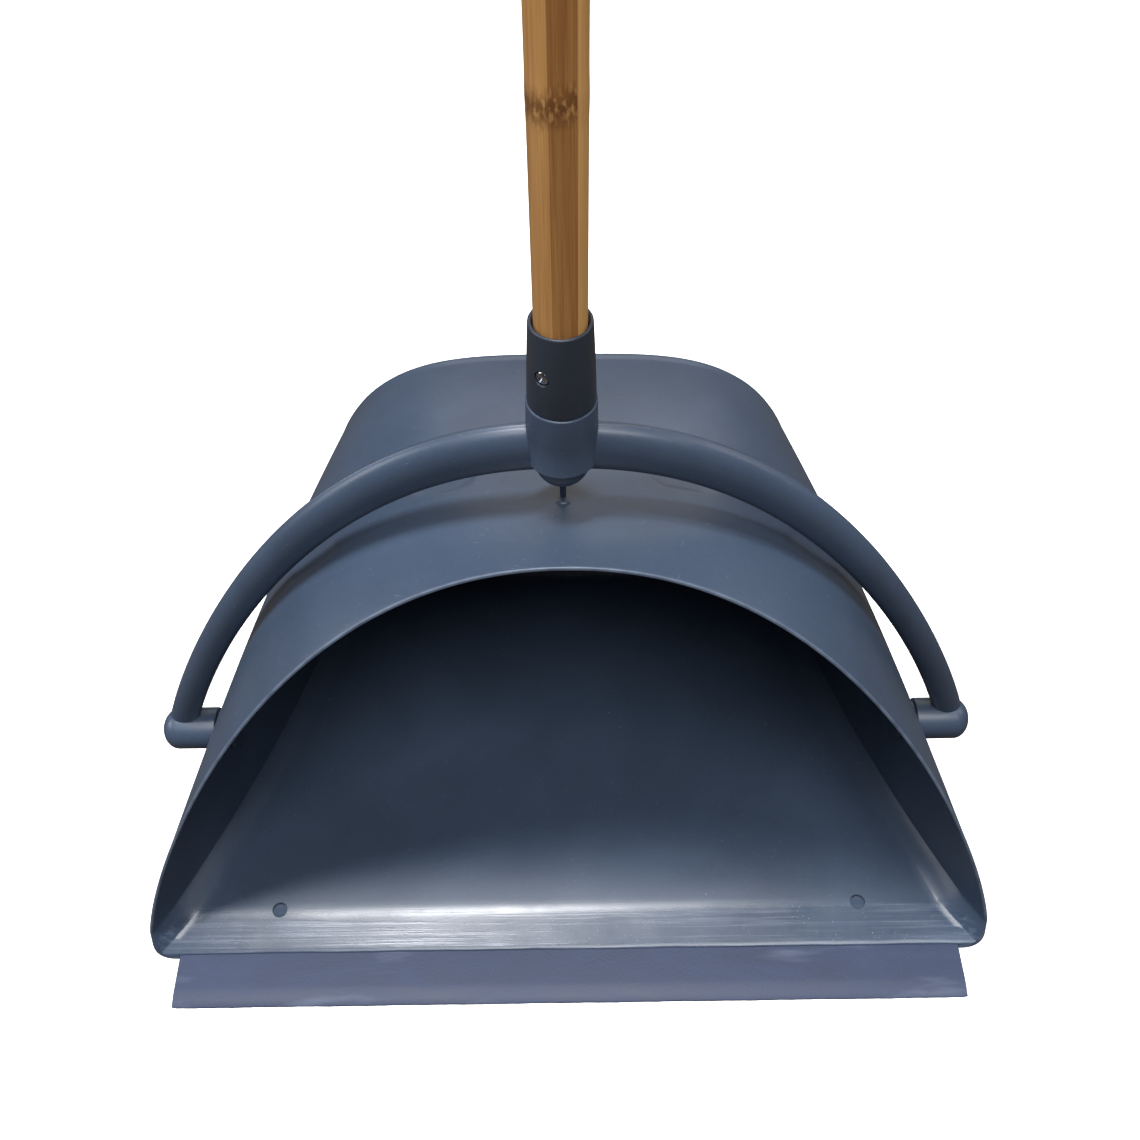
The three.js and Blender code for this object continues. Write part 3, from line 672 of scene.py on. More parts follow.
def bail_measures(pan, sizes):
    """Derived places of the bail: boss ends, the arms' reach and top, and the socket."""
    seat = stud_seat(pan)
    inside = seat + pan.collar_length + SLIDE
    outside = BAIL_HIGH.x
    top = hood_point(pan, 0, 0)[2] + sizes.arm_rise
    return {
        "inside": inside,
        "outside": outside,
        "reach": outside - sizes.boss_nose - sizes.arm_radius + 0.2 * MM,
        "top": top,
        "base": top - sizes.socket_drop,
        "rim": BAIL_HIGH.z,
        "stud_tip": seat + pan.collar_length + pan.stud_length,
        "boss_radius": pan.stud_radius + SLIDE + sizes.boss_wall,
    }


def arm_rings(sizes, place):
    """Rings along the arms' arch, with the mould's parting line standing proud in its plane."""
    angles = np.linspace(0, math.pi, sizes.arm_steps + 1)
    around = list(np.linspace(0, 2 * math.pi, sizes.arm_sides, endpoint=False))
    for middle in (0, math.pi):
        around += [middle + a for a in np.radians((-4.5, -2, 2, 4.5))]
    around = np.array(sorted(a % (2 * math.pi) for a in around))

    def centre(angle):
        across, up = np.cos(angle), max(np.sin(angle), 0)
        x = -place["reach"] * np.sign(across) * abs(across) ** sizes.across_power
        return np.array([x, AXIS.y, AXIS.z + (place["top"] - AXIS.z) * up**sizes.up_power])

    rings = []
    for angle in angles:
        ahead = centre(min(angle + 0.01, math.pi)) - centre(max(angle - 0.01, 0))
        ahead /= np.linalg.norm(ahead)
        out = np.array([-ahead[2], 0, ahead[0]])
        tall = lerp(sizes.arm_radius, sizes.root_height, max(math.sin(angle), 0) ** sizes.arm_taper)
        line = sizes.parting_rise * smooth_step(1 - np.abs(np.sin(around)) / 0.06)
        ring = centre(angle) + np.outer(np.cos(around) * (tall + line), out)
        rise = max(math.sin(angle), 0)
        ring[:, 1] += np.sin(around) * lerp(sizes.arm_depth, sizes.root_depth, rise)
        ring[:, 1] += sizes.arm_setback * (1 - rise)
        rings.append(ring)
    return rings


def boss_piece(sizes, place, side):
    """A boss with a rounded end."""
    radius, dome, edge = place["boss_radius"], sizes.boss_dome, 0.5 * MM
    profile = [(1e-5, place["inside"]), (radius - edge, place["inside"])]
    profile += arc((radius - edge, place["inside"] + edge), (edge, edge), -60, 0, 4)
    profile += arc((0, place["outside"] - dome), (radius, dome), 0, 86, 14)
    profile.append((1e-5, place["outside"]))
    return lathe("boss", profile, AXIS, (side, 0, 0))


def socket_piece(sizes, place, spigot_radius):
    """The cup for the ferrule: a rounded keel below, a flared wall and a rim with a soft edge."""
    top = spigot_radius + SLIDE + sizes.socket_wall
    low = top + sizes.socket_flare
    keel, edge = low - 2 * MM, 0.55 * MM
    base, rim = place["base"], place["rim"]
    profile = arc((0, base - 1 * MM), (keel, sizes.keel_depth - 1 * MM), -89, 0, 14)
    profile += [(keel, base - 0.3 * MM), (keel + 0.3 * MM, base), (low - edge, base)]
    profile += arc((low - edge, base + edge), (edge + 0.16 * MM, edge), -70, 0, 5)
    profile += [(low + 0.16 * MM, base + edge + 0.15 * MM), (low, base + edge + 0.4 * MM)]
    profile += [(lerp(low, top, 0.5) + 0.12 * MM, (base + rim) / 2)]
    profile += arc((top - edge, rim - edge), (edge, edge), 0, 90, 6)
    profile.append((1e-5, rim))
    return lathe("socket", profile, (0, AXIS.y, 0), sides=96)


def fin_piece(sizes, place):
    """The thin fin under the socket, with rounded edges."""
    rings = []
    half, foot = sizes.fin_thickness / 2, sizes.fin_foot
    front, back = AXIS.y - sizes.fin_front, AXIS.y + sizes.fin_back
    angles = np.linspace(0, 2 * math.pi, 48, endpoint=False)
    levels = ((foot, 0.35 * MM), (foot + 0.1 * MM, 0.1 * MM), (foot + 0.35 * MM, 0))
    for z, shrink in (*levels, (place["base"] - 2 * MM, 0)):
        x = np.sign(np.cos(angles)) * np.abs(np.cos(angles)) ** 0.3 * (half - shrink)
        y = np.sign(np.sin(angles)) * np.abs(np.sin(angles)) ** 0.3 * ((back - front) / 2 - shrink)
        rings.append(np.stack([x, y + (front + back) / 2, np.full(len(angles), z)], axis=-1))
    return loft("fin", rings)


def build_bail(pan, sizes, handle):
    """The whole bail as one moulding with blind bores for the studs and the spigot."""
    place = bail_measures(pan, sizes)
    piece = loft("bail_moulding", arm_rings(sizes, place))
    joined = [boss_piece(sizes, place, side) for side in (-1, 1)]
    joined += [socket_piece(sizes, place, handle.spigot_radius), fin_piece(sizes, place)]
    combine(piece, joined, "UNION")
    cutters = []
    for side in (-1, 1):
        radius = pan.stud_radius + SLIDE
        start, end = place["inside"] - 4 * MM, place["stud_tip"] + SLIDE
        profile = [(1e-5, start), (radius, start), (radius, end), (1e-5, end)]
        cutters.append(lathe("stud_bore", profile, AXIS, (side, 0, 0)))
    radius, rim = handle.spigot_radius + SLIDE, place["rim"]
    floor = FERRULE_LOW.z - SLIDE
    profile = [(1e-5, floor), (radius, floor), (radius, rim - 0.3 * MM), (radius + 0.3 * MM, rim)]
    profile += [(radius + 0.3 * MM, rim + 4 * MM), (1e-5, rim + 4 * MM)]
    cutters.append(lathe("spigot_bore", profile, (0, AXIS.y, 0)))
    combine(piece, cutters, "DIFFERENCE")
    return piece


def screw_frame(sizes):
    """The screw's direction, its level, and the distance of its seat from the handle's middle."""
    shoulder = FERRULE_HIGH.z - sizes.ferrule_height
    azimuth = math.radians(sizes.screw_azimuth)
    away = Vector((-math.sin(azimuth), -math.cos(azimuth), 0))
    top = (HANDLE_HIGH.x + SLIDE) + sizes.ferrule_wall
    outside = lerp(FERRULE_HIGH.x, top, sizes.screw_height / sizes.ferrule_height)
    origin = (0, AXIS.y, shoulder + sizes.screw_height)
    return away, origin, outside - sizes.head_height


def build_ferrule(sizes):
    """A tapered sleeve with a thick rounded rim, a hollow spigot and a counterbore for the screw."""
    shoulder, top = FERRULE_HIGH.z - sizes.ferrule_height, FERRULE_HIGH.z
    bore, low = HANDLE_HIGH.x + SLIDE, FERRULE_LOW.z
    lower, upper, edge = FERRULE_HIGH.x, bore + sizes.ferrule_wall, 0.62 * MM
    spigot, set_in = sizes.spigot_radius, 0.35 * MM
    middle = (0, AXIS.y, 0)
    profile = [(1e-5, low), (spigot - 0.6 * MM, low), (spigot, low + 2 * MM), (spigot, shoulder)]
    profile += [(lower - set_in - 0.5 * MM, shoulder)]
    profile += arc((lower - set_in - 0.5 * MM, shoulder + 0.5 * MM), (0.5 * MM, 0.5 * MM), -70, 0, 4)
    profile += [(lerp(lower - set_in, upper, 0.5) + 0.1 * MM, (shoulder + top) / 2)]
    profile += arc((upper - edge, top - edge), (edge, edge), 0, 90, 6) + [(1e-5, top)]
    piece = lathe("ferrule_moulding", profile, middle, sides=96)
    seat = HANDLE_LOW.z - SLIDE
    handle_bore = [(1e-5, seat), (bore, seat), (bore, top - 0.6 * MM), (bore + 0.45 * MM, top)]
    handle_bore += [(bore + 0.45 * MM, top + 5 * MM), (1e-5, top + 5 * MM)]
    web = shoulder + sizes.handle_seat / 2
    hollow = [(1e-5, low - 5 * MM), (sizes.spigot_bore, low - 5 * MM), (sizes.spigot_bore, web), (1e-5, web)]
    away, origin, screw_seat = screw_frame(sizes)
    cutters = [lathe("handle_bore", handle_bore, middle, sides=96), lathe("hollow", hollow, middle)]
    recess, pilot = sizes.head_radius + SLIDE, sizes.thread_radius + SLIDE
    mouth = screw_seat + sizes.head_height
    cut = [(1e-5, 0), (pilot, 0), (pilot, screw_seat - SLIDE), (recess, screw_seat - SLIDE)]
    cut += [(recess, mouth - 0.3 * MM), (recess + 0.5 * MM, mouth + 0.3 * MM)]
    cut += [(recess + 0.5 * MM, mouth + 5 * MM), (1e-5, mouth + 5 * MM)]
    cutters.append(lathe("screw_recess", cut, origin, away, sides=48))
    combine(piece, cutters, "DIFFERENCE")
    return piece


def build_screw(sizes):
    """A pan-head screw with a cross recess and a rolled thread."""
    away, origin, seat = screw_frame(sizes)
    head, rise = sizes.head_radius, sizes.head_height
    start = seat - sizes.screw_length
    profile = [(1e-5, start), (0.25 * MM, start), (sizes.core_radius, start + 1.8 * MM)]
    level = start + 2 * MM
    while level < seat - sizes.screw_pitch:
        profile += [(sizes.core_radius, level), (sizes.thread_radius, level + sizes.screw_pitch * 0.4)]
        profile += [(sizes.thread_radius, level + sizes.screw_pitch * 0.5)]
        level += sizes.screw_pitch
    profile += [(sizes.core_radius, seat), (head - 0.15 * MM, seat), (head, seat + 0.15 * MM)]
    profile += arc((0, seat + rise * 0.4), (head, rise * 0.6), 0, 88, 12) + [(1e-5, seat + rise)]
    piece = lathe("ferrule_screw_plated", profile, origin, away, sides=48)
    turn = Vector((0, 0, 1)).rotation_difference(away).to_matrix().to_4x4()
    place = Matrix.Translation(origin) @ turn @ Matrix.Rotation(math.radians(28), 4, "Z")
    for x, y in ((head * 0.62, 0.3 * MM), (0.3 * MM, head * 0.62)):
        cutter = box("cross", (-x, -y, seat + rise * 0.35), (x, y, seat + 3 * MM))
        cutter.data.transform(place)
        combine(piece, [cutter], "DIFFERENCE")
    return piece


def build_handle(sizes):
    """The bamboo rod: round, with chamfered ends and a barely raised ring at each node."""
    radius, low, high, chamfer = HANDLE_HIGH.x, HANDLE_LOW.z, HANDLE_HIGH.z, sizes.chamfer
    slim = radius - sizes.node_swell
    profile = [(1e-5, low), (slim - chamfer, low), (slim - 0.2 * MM, low + chamfer * 0.8)]
    profile += [(slim, low + chamfer * 1.2)]
    for z in np.arange(low + 4 * MM, high - 3 * MM, 2 * MM):
        nearest = min(abs(z - node) for node in node_levels(sizes))
        profile.append((slim + sizes.node_swell * float(smooth_step(1 - nearest / (9 * MM))), z))
    profile += [(slim, high - chamfer * 1.2), (slim - chamfer, high), (1e-5, high)]
    piece = lathe("bamboo_handle_turned", profile, (0, AXIS.y, 0), sides=128)
    away, origin, seat = screw_frame(sizes)
    pilot = sizes.thread_radius + SLIDE
    tip = seat - sizes.screw_length - SLIDE
    cut = [(1e-5, tip), (pilot, tip), (pilot, radius + 4 * MM), (1e-5, radius + 4 * MM)]
    combine(piece, [lathe("pilot_hole", cut, origin, away, sides=40)], "DIFFERENCE")
    return piece


def node_levels(sizes):
    """Heights of the bamboo's nodes, some 200 mm apart."""
    return [sizes.node_height + k * 207 * MM for k in range(3)]


def build_cap(sizes):
    """The cap on the handle's end: a sleeve that turns into a flat rounded tab with a hole."""
    end, low, outer = HANDLE_HIGH.z, CAP_LOW.z, CAP_HIGH.x
    bore, edge = HANDLE_HIGH.x + SLIDE, 0.5 * MM
    middle = (0, AXIS.y, 0)
    profile = [(1e-5, low), (outer - edge, low)] + arc((outer - edge, low + edge), (edge, edge), -70, 0, 4)
    for k in range(4):
        ring = low + (4 + 4.5 * k) * MM
        profile += [(outer, ring), (outer - 0.35 * MM, ring + 0.5 * MM)]
        profile += [(outer - 0.35 * MM, ring + 1.1 * MM), (outer, ring + 1.6 * MM)]
    profile += [(outer, end - 2 * MM)]
    profile += arc((0, end), (outer - SLIDE, sizes.cap_tab), 0, 89, 28)
    piece = lathe("end_cap_moulding", profile, middle, sides=96)
    flat = end + sizes.cap_shoulder
    cutters = []
    for side in (-1, 1):
        rings = []
        for z, y in ((flat - 3 * MM, outer + 1 * MM), (flat, sizes.tab_thickness / 2 + 1.6 * MM)):
            rings.append((z, y))
        half_tab = sizes.tab_thickness / 2
        rings += [(flat + 2 * MM, half_tab + 0.3 * MM), (flat + 5 * MM, half_tab)]
        rings += [(CAP_HIGH.z + 5 * MM, sizes.tab_thickness / 2)]
        outline = [(y, z) for z, y in rings] + [(3 * outer, CAP_HIGH.z + 5 * MM), (3 * outer, flat - 3 * MM)]
        points = [(x, side * y + AXIS.y, z) for x in (-3 * outer, 3 * outer) for y, z in outline]
        size = len(outline)
        faces = [tuple(range(size)), tuple(range(2 * size - 1, size - 1, -1))]
        faces += [(k, k + size, (k + 1) % size + size, (k + 1) % size) for k in range(size)]
        cutter = new_piece("flat", points, faces)
        turn_outwards(cutter.data)
        cutters.append(cutter)
    sleeve = [(1e-5, low - 5 * MM), (bore, low - 5 * MM), (bore, end + SLIDE), (1e-5, end + SLIDE)]
    cutters.append(lathe("sleeve_bore", sleeve, middle, sides=96))
    half, lead = sizes.tab_thickness / 2, 0.8 * MM
    hole = [(1e-5, -half - 5 * MM), (sizes.hole_radius + lead, -half - 5 * MM)]
    hole += [(sizes.hole_radius + lead, -half), (sizes.hole_radius, -half + lead)]
    hole += [(sizes.hole_radius, half - lead), (sizes.hole_radius + lead, half)]
    hole += [(sizes.hole_radius + lead, half + 5 * MM), (1e-5, half + 5 * MM)]
    cutters.append(lathe("hanging_hole", hole, (0, AXIS.y, end + sizes.hole_rise), (0, 1, 0), sides=64))
    combine(piece, cutters, "DIFFERENCE")
    return piece


# --- materials ---------------------------------------------------------------------------------


def node(tree, kind, inputs=None, **settings):
    """Adds a node with its settings; an input is a number, a colour or another node's socket."""
    made = tree.nodes.new(kind)
    for key, value in settings.items():
        setattr(made, key, value)
    for key, value in (inputs or {}).items():
        if isinstance(value, bpy.types.NodeSocket):
            tree.links.new(value, made.inputs[key])
        else:
            made.inputs[key].default_value = value
    return made


def blank_material(name, values=None):
    """An empty material: its node tree, its Principled shader and the object coordinates."""
    material = bpy.data.materials.new(name)
    material.use_nodes = True
    tree = material.node_tree
    tree.nodes.clear()
    shader = node(tree, "ShaderNodeBsdfPrincipled", values)
    node(tree, "ShaderNodeOutputMaterial", {"Surface": shader.outputs["BSDF"]})
    place = node(tree, "ShaderNodeTexCoord").outputs["Object"]
    return material, tree, shader, place


def ramp(tree, value, stops):
    """A grey ramp from (position, grey) pairs, with the socket that it gives."""
    made = node(tree, "ShaderNodeValToRGB", {"Fac": value})
    band = made.color_ramp
    while len(band.elements) < len(stops):
        band.elements.new(0.5)
    for element, (position, grey) in zip(band.elements, stops):
        element.position = position
        element.color = (grey, grey, grey, 1)
    return made.outputs["Color"]


def maths(tree, operation, a, b=0.0, clamp=False):
    """One step of arithmetic."""
    return node(tree, "ShaderNodeMath", {0: a, 1: b}, operation=operation, use_clamp=clamp).outputs[0]


def mixed(tree, share, a, b):
    """A mix of two colours, each a colour or a socket."""
    made = node(tree, "ShaderNodeMix", {0: share, 6: a, 7: b}, data_type="RGBA")
    return made.outputs[2]


def noise(tree, place, size, detail=2.0, rough=0.5, stretch=None, distortion=0.0):
    """Noise whose features are about size metres across, stretched per axis if asked."""
    if stretch is not None:
        place = node(tree, "ShaderNodeMapping", {"Vector": place, "Scale": stretch}).outputs[0]
    values = {"Vector": place, "Scale": 1 / size, "Detail": detail, "Roughness": rough}
    values["Distortion"] = distortion
    return node(tree, "ShaderNodeTexNoise", values).outputs["Fac"]


def scratches(tree, place, length_m, width_m, degrees, threshold):
    """Short hairline scratches: cells stretched along one direction, cut off near their seeds."""
    turned = node(tree, "ShaderNodeMapping", {"Vector": place, "Rotation": (0.3, 0.2, math.radians(degrees))})
    scale = (1 / length_m, 1 / width_m, 1 / width_m)
    turned = node(tree, "ShaderNodeMapping", {"Vector": turned.outputs[0], "Scale": scale}).outputs[0]
    cells = node(tree, "ShaderNodeTexVoronoi", {"Vector": turned, "Scale": 0.22, "Randomness": 1.0})
    line = ramp(tree, cells.outputs["Distance"], ((threshold * 0.5, 1), (threshold, 0)))
    chosen = node(tree, "ShaderNodeSeparateColor", {"Color": cells.outputs["Color"]}).outputs[0]
    return maths(tree, "MULTIPLY", line, ramp(tree, chosen, ((0.72, 0), (0.76, 1))))


def specks(tree, place, spacing, radius):
    """Specks of dust and tiny chips, about radius across and spacing apart."""
    cells = node(tree, "ShaderNodeTexVoronoi", {"Vector": place, "Scale": 1 / spacing, "Randomness": 1.0})
    edge = radius / spacing
    dot = ramp(tree, cells.outputs["Distance"], ((edge * 0.6, 1), (edge, 0)))
    chosen = node(tree, "ShaderNodeSeparateColor", {"Color": cells.outputs["Color"]}).outputs[1]
    return maths(tree, "MULTIPLY", dot, ramp(tree, chosen, ((0.55, 0), (0.95, 1))))


def moulded_polypropylene(name, base, deep, scuff, roughness=0.38, wear=1.0, ramp_top=0.0):
    """Injection-moulded polypropylene: a satin, slightly waxy skin. The pigment clouds a little
    where the melt flowed, and use leaves pale hairlines and dust on it."""
    values = {"IOR": 1.49, "Coat Weight": 0.0, "Specular IOR Level": 0.5}
    material, tree, shader, place = blank_material(name, values=values)
    flow = noise(tree, place, 70 * MM, detail=3, distortion=0.6)
    clouds = ramp(tree, flow, ((0.35, 0), (0.68, 1)))
    pigment = mixed(tree, clouds, list(deep), list(base))
    fine = noise(tree, place, 1.6 * MM, detail=3)
    pigment = mixed(tree, maths(tree, "MULTIPLY", fine, 0.05 * wear), pigment, list(scuff))
    lines = maths(
        tree,
        "MAXIMUM",
        scratches(tree, place, 3.5 * MM, 0.28 * MM, 31, 0.13),
        scratches(tree, place, 3 * MM, 0.26 * MM, -58, 0.12),
    )
    dust = specks(tree, place, 8 * MM, 0.34 * MM)
    marks = maths(tree, "MAXIMUM", maths(tree, "MULTIPLY", lines, 0.22), maths(tree, "MULTIPLY", dust, 0.5))
    marks = maths(tree, "MULTIPLY", marks, wear, clamp=True)
    polish = 0.0
    if ramp_top:
        polish, streaks = swept_ramp(tree, place, ramp_top)
        pigment = mixed(tree, maths(tree, "MULTIPLY", streaks, 0.35), pigment, list(scuff))
    if ramp_top:
        # the mouth's edge is painted paler in the scuff colour: partly wear, partly a painted highlight along
        # the rim's thin edge
        marks = maths(tree, "MAXIMUM", marks, maths(tree, "MULTIPLY", mouth_wear_and_painted_highlight(tree, place), 0.3))
    tree.links.new(mixed(tree, marks, pigment, list(scuff)), shader.inputs["Base Color"])
    dull = noise(tree, place, 14 * MM, detail=4, rough=0.6)
    rough = maths(tree, "ADD", maths(tree, "MULTIPLY", dull, 0.14), roughness - 0.07)
    rough = maths(tree, "ADD", rough, maths(tree, "MULTIPLY", marks, 0.2))
    rough = maths(tree, "SUBTRACT", rough, maths(tree, "MULTIPLY", polish, 0.13))
    tree.links.new(rough, shader.inputs["Roughness"])
    skin_grain = noise(tree, place, 0.9 * MM, detail=2)
    sink = noise(tree, place, 26 * MM, detail=1)
    fine = maths(tree, "MULTIPLY", skin_grain, 0.010)
    height = maths(tree, "ADD", fine, maths(tree, "MULTIPLY", sink, 0.2))
    height = maths(tree, "SUBTRACT", height, maths(tree, "MULTIPLY", lines, 0.02))
    if ramp_top:
        height = maths(tree, "SUBTRACT", height, maths(tree, "MULTIPLY", streaks, 0.03))
    bump = node(tree, "ShaderNodeBump", {"Height": height, "Strength": 1.0, "Distance": MM})
    tree.links.new(bump.outputs[0], shader.inputs["Normal"])
    return material


def mouth_wear_and_painted_highlight(tree, place):
    """How pale the mouth's edge is painted: partly wear, partly a painted highlight where the rim's thin edge
    catches the light. The edge lies in a plane that leans back.
    """
    sizes = bpy.context.scene.dustpan_pan
    split = node(tree, "ShaderNodeSeparateXYZ", {"Vector": place}).outputs
    rise = maths(tree, "MAXIMUM", maths(tree, "SUBTRACT", split["Z"], sizes.seam_height), 0.0)
    lean = maths(tree, "MULTIPLY", rise, sizes.mouth_rake / sizes.mouth_height)
    front = maths(tree, "ADD", lean, AXIS.y - sizes.mouth_reach)
    behind = maths(tree, "DIVIDE", maths(tree, "SUBTRACT", split["Y"], front), 0.7 * MM)
    near = maths(tree, "SUBTRACT", 1.2, behind, clamp=True)
    high = maths(tree, "DIVIDE", maths(tree, "SUBTRACT", split["Z"], sizes.seam_height), 6 * MM, clamp=True)
    near = maths(tree, "MULTIPLY", near, high)
    uneven = ramp(tree, noise(tree, place, 6 * MM, detail=4), ((0.3, 0.3), (0.6, 1)))
    return maths(tree, "MULTIPLY", near, uneven)


def swept_ramp(tree, place, ramp_top):
    """Where sweeping has polished the ramp, and the streaks that it has left along it."""
    split = node(tree, "ShaderNodeSeparateXYZ", {"Vector": place}).outputs
    back = PAN_LOW.y + 21 * MM
    reach = maths(tree, "DIVIDE", maths(tree, "SUBTRACT", back, split["Y"]), 6 * MM, clamp=True)
    low = maths(tree, "DIVIDE", maths(tree, "SUBTRACT", ramp_top, split["Z"]), 2 * MM, clamp=True)
    on_ramp = maths(tree, "MULTIPLY", reach, low)
    drawn = noise(tree, place, 3 * MM, detail=5, rough=0.65, stretch=(0.035, 1.6, 1))
    patchy = ramp(tree, noise(tree, place, 26 * MM, detail=3), ((0.35, 0.3), (0.65, 1)))
    streaks = maths(tree, "MULTIPLY", ramp(tree, drawn, ((0.48, 0), (0.72, 1))), patchy)
    return on_ramp, maths(tree, "MULTIPLY", streaks, on_ramp)


def soft_elastomer(name, base, deep, scuff):
    """Extruded thermoplastic elastomer: softer and duller than the pan, with rubbed smears."""
    values = {"IOR": 1.5, "Specular IOR Level": 0.4}
    material, tree, shader, place = blank_material(name, values=values)
    smear = noise(tree, place, 30 * MM, detail=4, rough=0.65, stretch=(0.5, 1.6, 1), distortion=1.2)
    clouds = ramp(tree, smear, ((0.3, 0), (0.62, 0.75), (0.78, 1)))
    pigment = mixed(tree, clouds, list(deep), list(base))
    rub = ramp(tree, noise(tree, place, 22 * MM, detail=5, stretch=(0.4, 2.2, 1)), ((0.6, 0), (0.8, 1)))
    pigment = mixed(tree, maths(tree, "MULTIPLY", rub, 0.28), pigment, list(scuff))
    dust = specks(tree, place, 12 * MM, 0.4 * MM)
    surface = mixed(tree, maths(tree, "MULTIPLY", dust, 0.7), pigment, list(scuff))
    tree.links.new(surface, shader.inputs["Base Color"])
    rough = maths(tree, "ADD", maths(tree, "MULTIPLY", smear, 0.2), 0.42)
    tree.links.new(rough, shader.inputs["Roughness"])
    height = maths(tree, "ADD", maths(tree, "MULTIPLY", smear, 0.25), noise(tree, place, 0.8 * MM))
    bump = node(tree, "ShaderNodeBump", {"Height": height, "Strength": 0.25, "Distance": 0.3 * MM})
    tree.links.new(bump.outputs[0], shader.inputs["Normal"])
    return material


def lacquered_bamboo(name, sizes, finish):
    """Glued bamboo strips turned round, sanded and lacquered: straight fibres, a colour step from
    strip to strip, dark knots where a strip's node was, and a thin clear gloss over it all."""
    values = {"IOR": 1.5, "Coat Weight": 0.2, "Coat Roughness": 0.22, "Coat IOR": 1.5}
    material, tree, shader, place = blank_material(name, values=values)
    split = node(tree, "ShaderNodeSeparateXYZ", {"Vector": place}).outputs
    width = sizes.strip_width
    column = maths(tree, "FLOOR", maths(tree, "DIVIDE", maths(tree, "ADD", split["X"], 2.1 * MM), width))
    layer = maths(tree, "GREATER_THAN", split["Y"], AXIS.y)
    own = strip_tones(tree, column, layer)
    wander = noise(tree, place, 30 * MM, detail=1, stretch=(1, 1, 0.08))
    fibres = noise(tree, place, 0.7 * MM, detail=3, rough=0.55, stretch=(1, 1, 0.02), distortion=0.4)
    broad = noise(tree, place, 2.6 * MM, detail=2, stretch=(1, 1, 0.03), distortion=0.5)
    tone = maths(tree, "ADD", maths(tree, "MULTIPLY", own, 0.75), maths(tree, "MULTIPLY", fibres, 0.55))
    tone = maths(tree, "ADD", tone, maths(tree, "MULTIPLY", broad, 0.55))
    tone = maths(tree, "ADD", tone, maths(tree, "MULTIPLY", wander, 0.15))
    share = ramp(tree, maths(tree, "SUBTRACT", tone, 0.5), ((0.0, 0), (0.95, 1)))
    wood = mixed(tree, share, list(finish.bamboo_dark), list(finish.bamboo_pale))
    offset = maths(tree, "MULTIPLY", maths(tree, "SUBTRACT", own, 0.5), 2.5 * MM)
    knot = None
    for k, level in enumerate(node_levels(sizes)):
        away = maths(tree, "ABSOLUTE", maths(tree, "SUBTRACT", maths(tree, "ADD", split["Z"], offset), level))
        blur = maths(tree, "MULTIPLY", noise(tree, place, 2.4 * MM, detail=3, stretch=(1, 1, 0.6)), 5.5 * MM)
        reach = maths(tree, "DIVIDE", maths(tree, "ADD", away, blur), 14 * MM)
        near = ramp(tree, reach, ((0.28, 1), (0.66, 0)))
        turn = maths(tree, "FLOORED_MODULO", maths(tree, "ADD", column, 3.0 + k), 3.0)
        missing = maths(tree, "COMPARE", turn, 1.0)
        kept = maths(tree, "SUBTRACT", 1.0, maths(tree, "MULTIPLY", missing, 0.85))
        near = maths(tree, "MULTIPLY", near, kept)
        knot = near if knot is None else maths(tree, "MAXIMUM", knot, near)
    eyes = ramp(tree, noise(tree, place, 1.1 * MM, detail=2, stretch=(1, 1, 0.4)), ((0.5, 0), (0.66, 1)))
    eyes = maths(tree, "MULTIPLY", eyes, 0.6)
    knot_colour = mixed(tree, eyes, list(finish.bamboo_node), list(finish.bamboo_pale))
    wood = mixed(tree, maths(tree, "MULTIPLY", knot, 0.82), wood, knot_colour)
    edge = maths(tree, "FRACT", maths(tree, "DIVIDE", maths(tree, "ADD", split["X"], 2.1 * MM), width))
    line = ramp(tree, maths(tree, "ABSOLUTE", maths(tree, "SUBTRACT", edge, 0.5)), ((0.465, 0), (0.495, 1)))
    wood = mixed(tree, maths(tree, "MULTIPLY", line, 0.45), wood, list(finish.bamboo_node))
    tree.links.new(wood, shader.inputs["Base Color"])
    rough = maths(tree, "ADD", maths(tree, "MULTIPLY", fibres, 0.22), 0.34)
    tree.links.new(rough, shader.inputs["Roughness"])
    bump = node(tree, "ShaderNodeBump", {"Height": fibres, "Strength": 0.35, "Distance": 0.12 * MM})
    tree.links.new(bump.outputs[0], shader.inputs["Normal"])
    return material


def strip_tones(tree, column, layer):
    """How pale each glued strip is: five tones across, moved on by two from front to back."""
    place = maths(tree, "ADD", column, maths(tree, "MULTIPLY", layer, 2.0))
    place = maths(tree, "FLOORED_MODULO", maths(tree, "ADD", place, 3.0), 5.0)
    band = node(tree, "ShaderNodeValToRGB", {"Fac": maths(tree, "DIVIDE", place, 5.0)})
    band.color_ramp.interpolation = "CONSTANT"
    tones = ((0.0, 0.45), (0.19, 0.7), (0.39, 0.58), (0.59, 0.2), (0.79, 0.95))
    while len(band.color_ramp.elements) < len(tones):
        band.color_ramp.elements.new(0.5)
    for element, (position, grey) in zip(band.color_ramp.elements, tones):
        element.position = position
        element.color = (grey, grey, grey, 1)
    return band.outputs["Color"]


def plated_steel(name, tint):
    """Zinc-plated steel, cold-headed: bright, with faint blotches of dulling all over it."""
    material, tree, shader, place = blank_material(name, values={"Metallic": 1.0})
    stain = noise(tree, place, 1.2 * MM, detail=3)
    tree.links.new(mixed(tree, stain, list(tint), linear("#8f9296")), shader.inputs["Base Color"])
    tree.links.new(maths(tree, "ADD", maths(tree, "MULTIPLY", stain, 0.2), 0.1), shader.inputs["Roughness"])
    grain = noise(tree, place, 0.4 * MM)
    bump = node(tree, "ShaderNodeBump", {"Height": grain, "Strength": 0.2, "Distance": 0.05 * MM})
    tree.links.new(bump.outputs[0], shader.inputs["Normal"])
    return material


